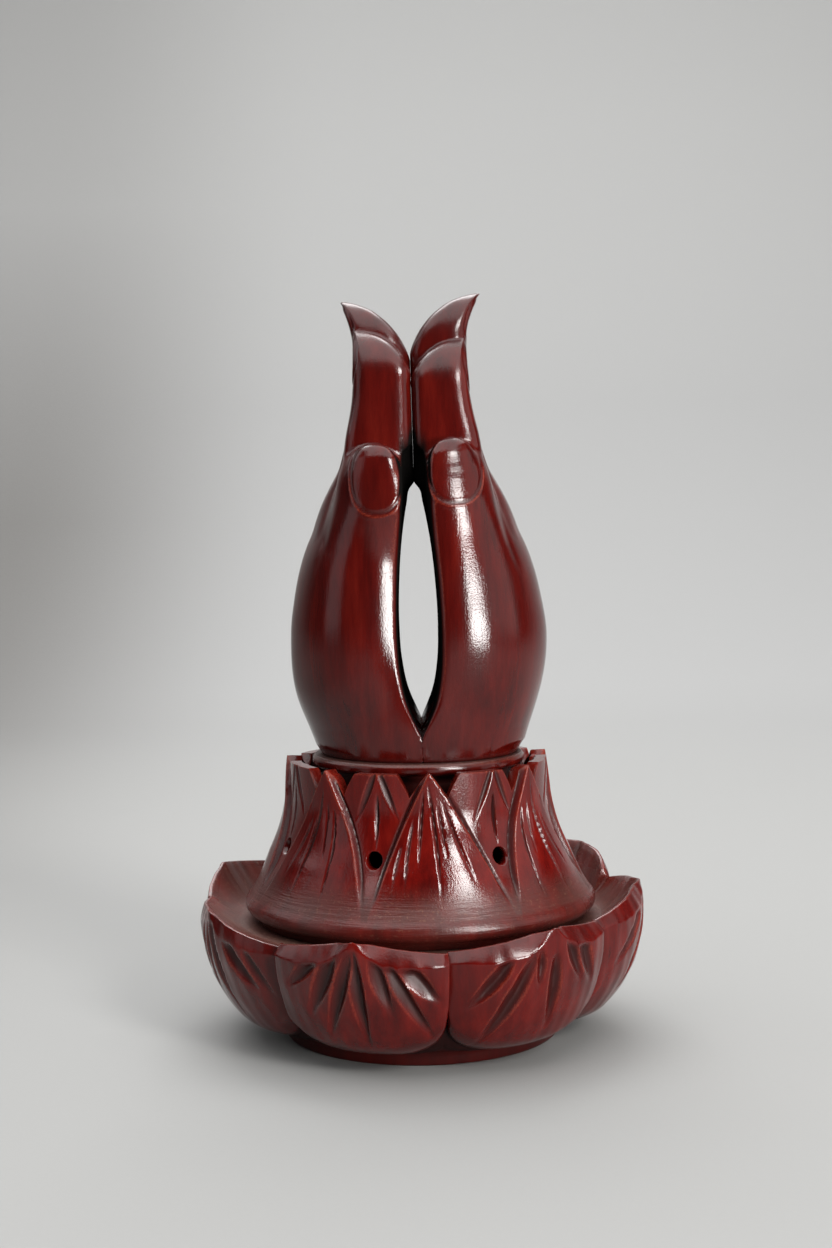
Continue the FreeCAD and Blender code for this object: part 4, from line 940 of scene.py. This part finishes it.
# Fingers: Y at root and at tip, half thickness front to back at root and at tip, how far out the root stands
# as a share of the knuckles, and the length of the pad as a share of the usual one
FINGERS = ((-15.6, -9.4, 7.0, 6.2, 0.80, 0.9), (-4.4, -2.4, 6.9, 6.0, 0.96, 1.3),
           (6.8, 6.8, 6.6, 5.7, 0.94, 1.2), (17.2, 15.4, 5.8, 4.8, 0.76, 1.0))
FINGER_ROOT = 140.0
# Pad of a fingertip: fall below the tip, share of the tip's reach left between pad and seam
PAD_FALL = (0.0, 0.35, 1.6, 3.8, 6.8, 10.2, 13.6, 17.0, 60.0)
PAD_SHARE = (0.92, 0.83, 0.61, 0.40, 0.215, 0.08, 0.0, 0.0, 0.0)
# Thumb: height, middle across, middle front to back, half width, half depth
THUMB_HEIGHTS = (92.0, 104.0, 113.0, 122.0, 134.0, 143.0, 150.0, 157.0, 164.0, 169.0, 172.5, 175.0, 176.4)
THUMB_ACROSS = (18.0, 18.0, 18.0, 17.5, 16.0, 14.2, 12.8, 11.8, 11.2, 11.1, 11.1, 11.1, 11.1)
THUMB_DEEP = (-8.0, -14.4, -16.1, -16.3, -15.8, -17.5, -19.3, -20.6, -21.4, -21.8, -22.0, -22.0, -22.0)
THUMB_HALF = (8.0, 9.2, 10.0, 10.5, 11.0, 10.8, 9.6, 8.6, 8.0, 7.5, 6.2, 3.8, 0.6)
THUMB_THICK = (8.0, 9.8, 10.2, 10.6, 11.0, 9.9, 8.8, 8.0, 7.2, 6.4, 5.0, 3.0, 0.6)
THUMB_TURN = 0.25
# The two hands: side, fingertip heights and reaches from index to little finger, rise of the thumb, thumb
# nail (middle across, height, half width, half length), rounding of the gap's edge, start and radius of the
# palm's roll into the gap, extra fullness of the heel, depth of the crease by the thumb
HANDS = {
    "left_hand": {"side": -1.0, "tips": (207.8, 216.9, 206.6, 193.6), "reaches": (16.2, 20.2, 15.8, 14.6),
                  "thumb_rise": -1.3, "nail": (10.6, 164.6, 7.1, 10.0), "gap_round": 1.5,
                  "gap_roll": (29.0, 60.0), "heel": 1.7, "crease": 0.1},
    "right_hand": {"side": 1.0, "tips": (205.4, 218.8, 208.3, 195.0), "reaches": (16.2, 21.2, 15.8, 14.8),
                   "thumb_rise": 0.0, "nail": (11.7, 166.9, 7.5, 9.6), "gap_round": 3.0,
                   "gap_roll": (15.0, 60.0), "heel": 0.0, "crease": 0.3},
}


def finger_field(x, y, z, tip, reach, finger):
    """Distance to one finger: a squarish column between its back line and its sloping pad, whose front rolls
    back over the top in a quarter of an ellipse."""
    root_y, tip_y, root_half, tip_half, root_share, pad_length = finger
    roll, tip_length, section_power = 14.0, 13.0, 3.5
    nail_fall, nail_half, nail_long, nail_groove, nail_rise = 9.0, 4.1, 8.0, 0.35, 0.12
    fall = np.clip(tip - z, 0.0, None)
    emerge = ease(FINGER_ROOT, 163.0, z)
    knuckle = root_share + (1.0 - root_share) * ease(153.0, 179.0, z)
    back = along(z, BACK_HEIGHTS, BACK_REACH) * knuckle
    back = back * (0.78 + 0.22 * emerge)
    outside = back + (reach - BACK_REACH[-1]) * np.clip(1.0 - fall / tip_length, 0.0, 1.0) ** 1.6
    inside = reach * along(fall / pad_length, PAD_FALL, PAD_SHARE) + 0.02
    half_x = np.maximum(0.5 * (outside - inside), 0.05)
    share = np.clip((z - FINGER_ROOT) / (tip - FINGER_ROOT), 0.0, 1.0)
    full_half = (root_half + (tip_half - root_half) * share) * (0.5 + 0.5 * emerge)
    left_over = np.sqrt(1.0 - 0.97 * np.clip(1.0 - fall / roll, 0.0, 1.0) ** 2)
    half_y = full_half * left_over
    middle_y = root_y + (tip_y - root_y) * share + 0.8 * (full_half - half_y)
    field = oval_column(x, y, 0.5 * (outside + inside), middle_y, half_x, half_y, section_power)
    field = np.maximum(field, 1.2 * (FINGER_ROOT - z))
    ring = np.hypot((y - middle_y) / nail_half, (z - tip + nail_fall) / nail_long)
    nail = nail_groove * np.exp(-((ring - 1.0) / 0.10) ** 2) - nail_rise * ease(1.0, 0.75, ring)
    field = field + nail * ease(0.0, 4.0, x - 0.5 * (outside + inside)) * (fall > 0.4)
    return np.where(z > tip, np.maximum(field, z - tip), field)


def nail_ring(x, z, hand):
    """Place relative to the thumb nail's outline, a superellipse of power 2.4: 1 on it, less inside."""
    across, height, half, long = hand["nail"]
    power = 2.4
    return ((np.abs(x - across) / half) ** power + (np.abs(z - height) / long) ** power) ** (1.0 / power)


def thumb_field(x, y, z, hand):
    """Distance to the thumb: an oval column through its stations, turned outwards, with a flattened nail in
    a groove."""
    section_power, groove, fold, flattening = 2.2, 0.45, 0.15, 1.1
    low = z - hand["thumb_rise"] * ease(140.0, 160.0, z)
    across = along(low, THUMB_HEIGHTS, THUMB_ACROSS)
    turned = y - THUMB_TURN * (x - across)
    field = oval_column(x, turned, across, along(low, THUMB_HEIGHTS, THUMB_DEEP),
                        along(low, THUMB_HEIGHTS, THUMB_HALF), along(low, THUMB_HEIGHTS, THUMB_THICK),
                        section_power)
    field = np.maximum(field, np.maximum(THUMB_HEIGHTS[0] - low, low - THUMB_HEIGHTS[-1]))
    ring = nail_ring(x, z, hand)
    nail = groove * np.exp(-((ring - 1.0) / 0.055) ** 2) - fold * np.exp(-((ring - 1.13) / 0.06) ** 2)
    nail = nail + flattening * np.clip(1.0 - ring ** 2, 0.0, None)
    return field + nail * ease(-18.0, -22.0, y)


def crease_line(x, z):
    """Bell across the crease that runs down the back of the thumb's root, from (23, 161) to (30.5, 135.5)."""
    top_x, top_z, run, drop, length, half_width, bow = 23.0, 161.0, 7.5, 25.5, 26.6, 0.8, 0.8
    down = ((x - top_x) * run - (z - top_z) * drop) / length
    across = ((x - top_x) * drop + (z - top_z) * run) / length
    ends = ease(0.0, 6.0, down) * ease(length, length - 8.0, down)
    return ends * np.exp(-((across + bow * np.sin(np.pi * down / length)) / half_width) ** 2)


def hollow_depth(x, y, z, half):
    """How deep a place lies in an oval hollow of the palms: 1 in its middle, 0 on its wall, less outside."""
    return 1.0 - np.sqrt((x / half[0]) ** 2 + (y / half[1]) ** 2 + ((z - HOLLOW_HEIGHT) / half[2]) ** 2)


def hand_field(x, y, z, hand):
    """Distance to one hand as if on the +X side, before its lean: negative inside the wood."""
    palm_top, palm_power, finger_fillet = 173.0, 2.0, 1.1
    half = along(z, PALM_HEIGHTS, PALM_HALF) + hand["heel"] * ease(120.0, 98.0, z)
    palm = oval_column(x, y, 0.0, 0.0, half, along(z, PALM_HEIGHTS, PALM_DEPTH), palm_power)
    palm = soft_common(palm, z - palm_top, 6.0)
    fingers = None
    for tip, reach, finger in zip(hand["tips"], hand["reaches"], FINGERS):
        one = finger_field(x, y, z, tip, reach, finger)
        fingers = one if fingers is None else soft_union(fingers, one, finger_fillet)
    root_fillet = 1.2 + 6.0 * ease(167.0, 151.0, z) * ease(139.0, 152.0, z)
    thumb_fillet = 1.4 + 7.6 * ease(176.0, 162.0, z)
    thumb_side = ease(-2.0, -8.0, y)
    body = soft_union(palm, fingers, root_fillet)
    body = soft_union(body, thumb_field(x, y, z, hand), thumb_fillet)
    body = body + hand["crease"] * crease_line(x, z) * thumb_side
    start, radius = hand["gap_roll"]
    rolled = ease(86.0, 122.0, z) * ease(160.0, 138.0, z) * ease(-6.0, -18.0, y)
    body = body + np.clip(start - x, 0.0, None) ** 2 / (2.0 * radius) * rolled
    open_palm = ease(88.0, 104.0, z) * ease(172.0, 160.0, z)
    front_share = ease(-12.0, -17.0, y)
    back_gap, front_gap = along(z, GAP_HEIGHTS, GAP_HALF), along(z, GAP_HEIGHTS, FRONT_GAP_HALF)
    gap = back_gap + (front_gap - back_gap) * front_share - x
    body = soft_common(body, gap, 0.04 + hand["gap_round"] * open_palm)
    body = soft_common(body, HOLLOW_HALF[0] * hollow_depth(x, y, z, HOLLOW_HALF), 2.0)
    flue = np.minimum(PLINTH_BORE - np.hypot(x, y), FLUE_TOP - z)
    return np.maximum(np.maximum(body, flue), WRIST_HEIGHT - z)


def field_slope(field, points, reach=0.04):
    """Gradient of a field at points, by central differences."""
    slope = np.empty_like(points)
    for axis in range(3):
        step = np.zeros(3)
        step[axis] = reach
        ahead, behind = (points + step).T, (points - step).T
        slope[:, axis] = (field(*ahead) - field(*behind)) / (2.0 * reach)
    return slope


def settle(field, points, rounds, limit):
    """Moves points onto the field's zero surface along its gradient, by at most limit a round."""
    for _ in range(rounds):
        slope = field_slope(field, points)
        move = (field(*points.T) / np.maximum((slope ** 2).sum(1), 0.05))[:, None] * slope
        size = np.linalg.norm(move, axis=1, keepdims=True)
        points = points - move * np.minimum(1.0, limit / np.maximum(size, 1e-9))
    return points


def carve(field, low, high, step):
    """Closed quad surface where the field is zero.

    The space is cut into cubes of one step; each cube with corners on both sides holds one point,
    each cube edge that changes sign gives one quad of the four cubes round it, and the points are
    then evened out among their neighbours and settled onto the surface.
    """
    axes = [np.arange(a, b + step, step) for a, b in zip(low, high)]
    inside = field(axes[0][:, None, None], axes[1][None, :, None], axes[2][None, None, :]) < 0.0
    count = np.zeros([len(a) - 1 for a in axes], np.uint8)
    for i in (0, 1):
        for j in (0, 1):
            for k in (0, 1):
                count += inside[i:len(axes[0]) - 1 + i, j:len(axes[1]) - 1 + j, k:len(axes[2]) - 1 + k]
    active = (count > 0) & (count < 8)
    number = np.full(count.shape, -1, np.int64)
    number[active] = np.arange(active.sum())
    points = np.stack([axes[n][index] + 0.5 * step for n, index in enumerate(np.nonzero(active))], -1)
    quads = []
    for axis in range(3):
        turned = np.moveaxis(inside, axis, 0)
        cells = np.moveaxis(number, axis, 0)
        change = turned[:-1, 1:-1, 1:-1] != turned[1:, 1:-1, 1:-1]
        i, j, k = np.nonzero(change)
        ring = np.stack([cells[i, j, k], cells[i, j + 1, k], cells[i, j + 1, k + 1], cells[i, j, k + 1]], -1)
        flip = turned[i, j + 1, k + 1] ^ (axis == 1)
        quads.append(np.where(flip[:, None], ring, ring[:, ::-1]))
    quads = np.concatenate(quads)
    points = settle(field, points, 3, 0.5 * step)
    edges = np.concatenate([quads[:, [0, 1]], quads[:, [1, 2]], quads[:, [2, 3]], quads[:, [3, 0]]])
    share = np.bincount(edges[:, 0], minlength=len(points))[:, None]
    for _ in range(2):
        around = [np.bincount(edges[:, 0], points[edges[:, 1], n], len(points)) for n in range(3)]
        around = np.stack(around, -1) / share
        points = settle(field, 0.5 * points + 0.5 * around, 2, 0.5 * step)
    return points, quads


def hand_marks(points, slope, hand):
    """Cut, wear and soot of a hand's points.

    Cut paints shade in the nail's groove, at the foot of the wrist and in the crease, and darkens and dulls
    the upper side of the fingertips. Wear, a lighter red that also paints highlight, runs round the nail's
    lower half and along the gap's edge. Soot lies on what faces the gap and lines the palm.
    """
    groove_shade, foot_shade, crease_shade, tip_dark = 0.6, 0.6, 0.5, 0.35
    nail_wear_and_highlight, edge_wear_and_highlight = 0.9, 0.7
    x, y, z = points.T
    size = np.linalg.norm(slope, axis=1)
    facing, upward = -slope[:, 0] / size, slope[:, 2] / size
    in_gap = ease(89.0, 96.0, z) * ease(184.0, 174.0, z)
    deep = hollow_depth(x, y, z, SOOT_HALF)
    soot = ease(0.62, 0.88, facing) * in_gap * ease(13.0, 9.0, x) + ease(0.0, 0.1, deep)
    soot = soot + ease(4.6, 3.0, x) * ease(156.0, 160.0, z) * ease(180.0, 172.0, z)
    ring = nail_ring(x, z, hand)
    front = ease(-18.0, -22.0, y)
    # Painted shade in the nail groove, at the wrist's foot and in the crease
    cut = front * groove_shade * np.exp(-((ring - 1.0) / 0.05) ** 2)
    cut = cut + foot_shade * ease(WRIST_HEIGHT + 2.0, WRIST_HEIGHT, z)
    cut = cut + crease_shade * hand["crease"] * crease_line(x, z) * ease(-2.0, -8.0, y)
    cut = cut + tip_dark * ease(0.05, 0.4, upward) * ease(180.0, 192.0, z)
    nail_low = hand["nail"][1] - 1.0
    # Wear and painted highlight on the nail's lower rim and the gap's edge
    worn = front * nail_wear_and_highlight * np.exp(-((ring - 1.10) / 0.045) ** 2) * ease(nail_low + 7.0, nail_low - 1.0, z)
    gap_edge = edge_wear_and_highlight * np.exp(-((facing - 0.45) / 0.12) ** 2) * in_gap
    worn = worn + gap_edge * ease(-14.0, -20.0, y) * ease(10.0, 7.0, x)
    return np.clip(cut, 0.0, 1.0), np.clip(worn, 0.0, 1.0), np.clip(soot, 0.0, 1.0)


def build_hand(name, hand):
    """One hand, carved on the +X side, then mirrored to its own side, set over and leaned."""
    def field(x, y, z):
        return hand_field(x, y, z, hand)
    low, high = (-1.2, -36.0, WRIST_HEIGHT - 1.2), (41.0, 35.0, 221.0)
    points, quads = carve(field, low, high, CARVING_STEP)
    cut, worn, soot = hand_marks(points, field_slope(field, points), hand)
    x, y, z = points.T
    x = hand["side"] * x + HAND_OFFSET - HAND_LEAN * (z - WRIST_HEIGHT)
    order = quads if hand["side"] > 0 else quads[:, ::-1]
    return put_mesh(name, np.stack([x, y, z], -1), [order], sharp_degrees=70.0, cut=cut, worn=worn, soot=soot)


hand_lacquer = red_lacquer("hand_red_lacquer", (1.0, 1.0, 0.1), 0.86, 1.43)
for hand_name, hand in HANDS.items():
    piece = build_hand(hand_name + "_carved", hand)
    piece.data.materials.append(hand_lacquer)
    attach(piece, "hands")
    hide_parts(hand_name)

# Floor and backdrop: one pale grey sheet that lies under the burner and sweeps up behind it; its grey is
# graded to paint how the light falls on it, with a painted shadow on the left.
SWEEP_NEAR, SWEEP_START, SWEEP_BEND, SWEEP_TOP, SWEEP_HALF = -1.6, 0.75, 0.9, 3.2, 3.0
# Grey of the sheet from near to far, graded as painted light: place, red and green, blue
SWEEP_GREYS = ((0.0, 0.238, 0.233), (0.4, 0.254, 0.249), (0.62, 0.274, 0.272), (0.88, 0.254, 0.252),
               (1.0, 0.286, 0.282))
SWEEP_SHADOW, SWEEP_FLECK = (0.085, 0.081, 0.075), (0.30, 0.30, 0.30)
sweep_turn = np.linspace(0.0, 0.5 * math.pi, 24)
sweep_bend_y = SWEEP_START + SWEEP_BEND * np.sin(sweep_turn)
sweep_y = np.concatenate([[SWEEP_NEAR, 0.0], sweep_bend_y, [SWEEP_START + SWEEP_BEND]])
sweep_z = np.concatenate([[0.0, 0.0], SWEEP_BEND * (1.0 - np.cos(sweep_turn)), [SWEEP_TOP]])
sweep_x = np.linspace(-SWEEP_HALF, SWEEP_HALF, 3)
sweep_points = np.stack(np.broadcast_arrays(sweep_x[None, :], sweep_y[:, None], sweep_z[:, None]), -1) / MM
sweep_row = np.arange(len(sweep_y) - 1)[:, None] * 3
sweep_first = sweep_row + np.arange(2)[None, :]
sweep_quads = np.stack([sweep_first, sweep_first + 1, sweep_first + 4, sweep_first + 3], -1).reshape(-1, 4)
backdrop = put_mesh("studio_sweep", sweep_points, [sweep_quads])
sweep_grey, add_sweep, sweep_place = new_material("sweep_pale_grey")
sweep_axes = add_sweep("SeparateXYZ", {"Vector": sweep_place}).outputs
sweep_far = spread(add_sweep, sweep_axes["Y"], -0.2, 1.6)
sweep_colour = ramp(add_sweep, sweep_far, *((place, (grey, grey, blue)) for place, grey, blue in SWEEP_GREYS))
# Painted shadow: darker towards SWEEP_SHADOW on the left and low down
sweep_side = spread(add_sweep, sweep_axes["X"], -0.40, -0.08, 0.85, 0.0, interpolation_type="SMOOTHSTEP")
sweep_low = spread(add_sweep, sweep_axes["Z"], 0.5, 0.15, 0.35, 1.0)
sweep_dim = reckon(add_sweep, "MULTIPLY", sweep_side, sweep_low)
sweep_colour = blend_colour(add_sweep, sweep_dim, sweep_colour, SWEEP_SHADOW)
sweep_grain = spread(add_sweep, noise(add_sweep, sweep_place, 700.0, 2.0), 0.0, 1.0, 0.0, 0.12)
sweep_colour = blend_colour(add_sweep, sweep_grain, sweep_colour, SWEEP_FLECK)
sweep_shader = add_sweep("BsdfPrincipled", {"Base Color": sweep_colour, "Roughness": 0.85})
add_sweep("OutputMaterial", {"Surface": sweep_shader.outputs["BSDF"]})
backdrop.data.materials.append(sweep_grey)

# Light: a small bright box low to the right of the camera and another above it, weak wide ones on
# both sides, one high on the left, one behind and a large one overhead, in a dim surround.
WARM_WHITE, WHITE = (1.0, 0.99, 0.97), (1.0, 1.0, 1.0)
SURROUND_COLOUR, SURROUND_STRENGTH = (0.78, 0.79, 0.80, 1.0), 0.05


def soft_box(name, place, aim, width, height, power, colour):
    """Rectangular lamp at place that faces aim, both in metres."""
    lamp = bpy.data.lights.new(name, "AREA")
    lamp.shape = "RECTANGLE"
    lamp.size, lamp.size_y = width, height
    lamp.energy = power
    lamp.color = colour
    holder = bpy.data.objects.new(name, lamp)
    bpy.context.collection.objects.link(holder)
    direction = np.array(aim, float) - np.array(place, float)
    flat = math.hypot(direction[0], direction[1])
    holder.location = place
    tilt, heading = math.atan2(flat, -direction[2]), math.atan2(direction[0], -direction[1]) + math.pi
    holder.rotation_euler = (tilt, 0.0, heading)


soft_box("right_front_box", (0.95, -1.25, 0.17), (0.0, 0.0, 0.12), 0.46, 0.40, 25.0, WARM_WHITE)
soft_box("right_side_box", (1.4, -0.35, 0.6), (0.0, 0.0, 0.12), 1.2, 1.1, 4.0, (1.0, 0.98, 0.96))
soft_box("overhead_box", (0.0, 0.0, 1.5), (0.0, 0.001, 0.1), 2.4, 2.6, 52.0, WHITE)
soft_box("right_high_box", (0.82, -1.15, 0.90), (0.0, 0.0, 0.08), 0.38, 0.42, 18.0, WARM_WHITE)
soft_box("rear_box", (-0.1, 0.95, 1.55), (0.0, 0.0, 0.2), 1.3, 0.8, 20.0, WHITE)
soft_box("left_high_box", (-1.7, 0.5, 1.3), (0.0, 0.0, 0.1), 1.4, 1.2, 7.0, (0.97, 0.98, 1.0))
soft_box("left_box", (-1.5, -0.6, 0.6), (0.0, 0.0, 0.1), 0.9, 1.1, 2.4, (0.95, 0.97, 1.0))
world = bpy.data.worlds.new("pale_surround")
bpy.context.scene.world = world
world.use_nodes = True
surround = world.node_tree.nodes["Background"].inputs
surround["Color"].default_value = SURROUND_COLOUR
surround["Strength"].default_value = SURROUND_STRENGTH

# Camera: level with the thumbs, close in front, tipped down slightly and rolled a hair.
CAMERA_PLACE = (0.00045, -0.552, 0.155)
FOCAL_PIXELS, FRAME_PIXELS, SENSOR = 1858.0, 1248.0, 36.0
CAMERA_TIP, CAMERA_ROLL = math.radians(3.47), math.radians(0.9)
lens = bpy.data.cameras.new("photo_camera")
lens.sensor_width = SENSOR
lens.lens = FOCAL_PIXELS * SENSOR / FRAME_PIXELS
camera = bpy.data.objects.new("photo_camera", lens)
bpy.context.collection.objects.link(camera)
camera.location = CAMERA_PLACE
camera.rotation_mode = "XYZ"
camera.rotation_euler = (math.radians(90.0) - CAMERA_TIP, CAMERA_ROLL, 0.0)
bpy.context.scene.camera = camera
bpy.context.scene.view_settings.view_transform = "Standard"
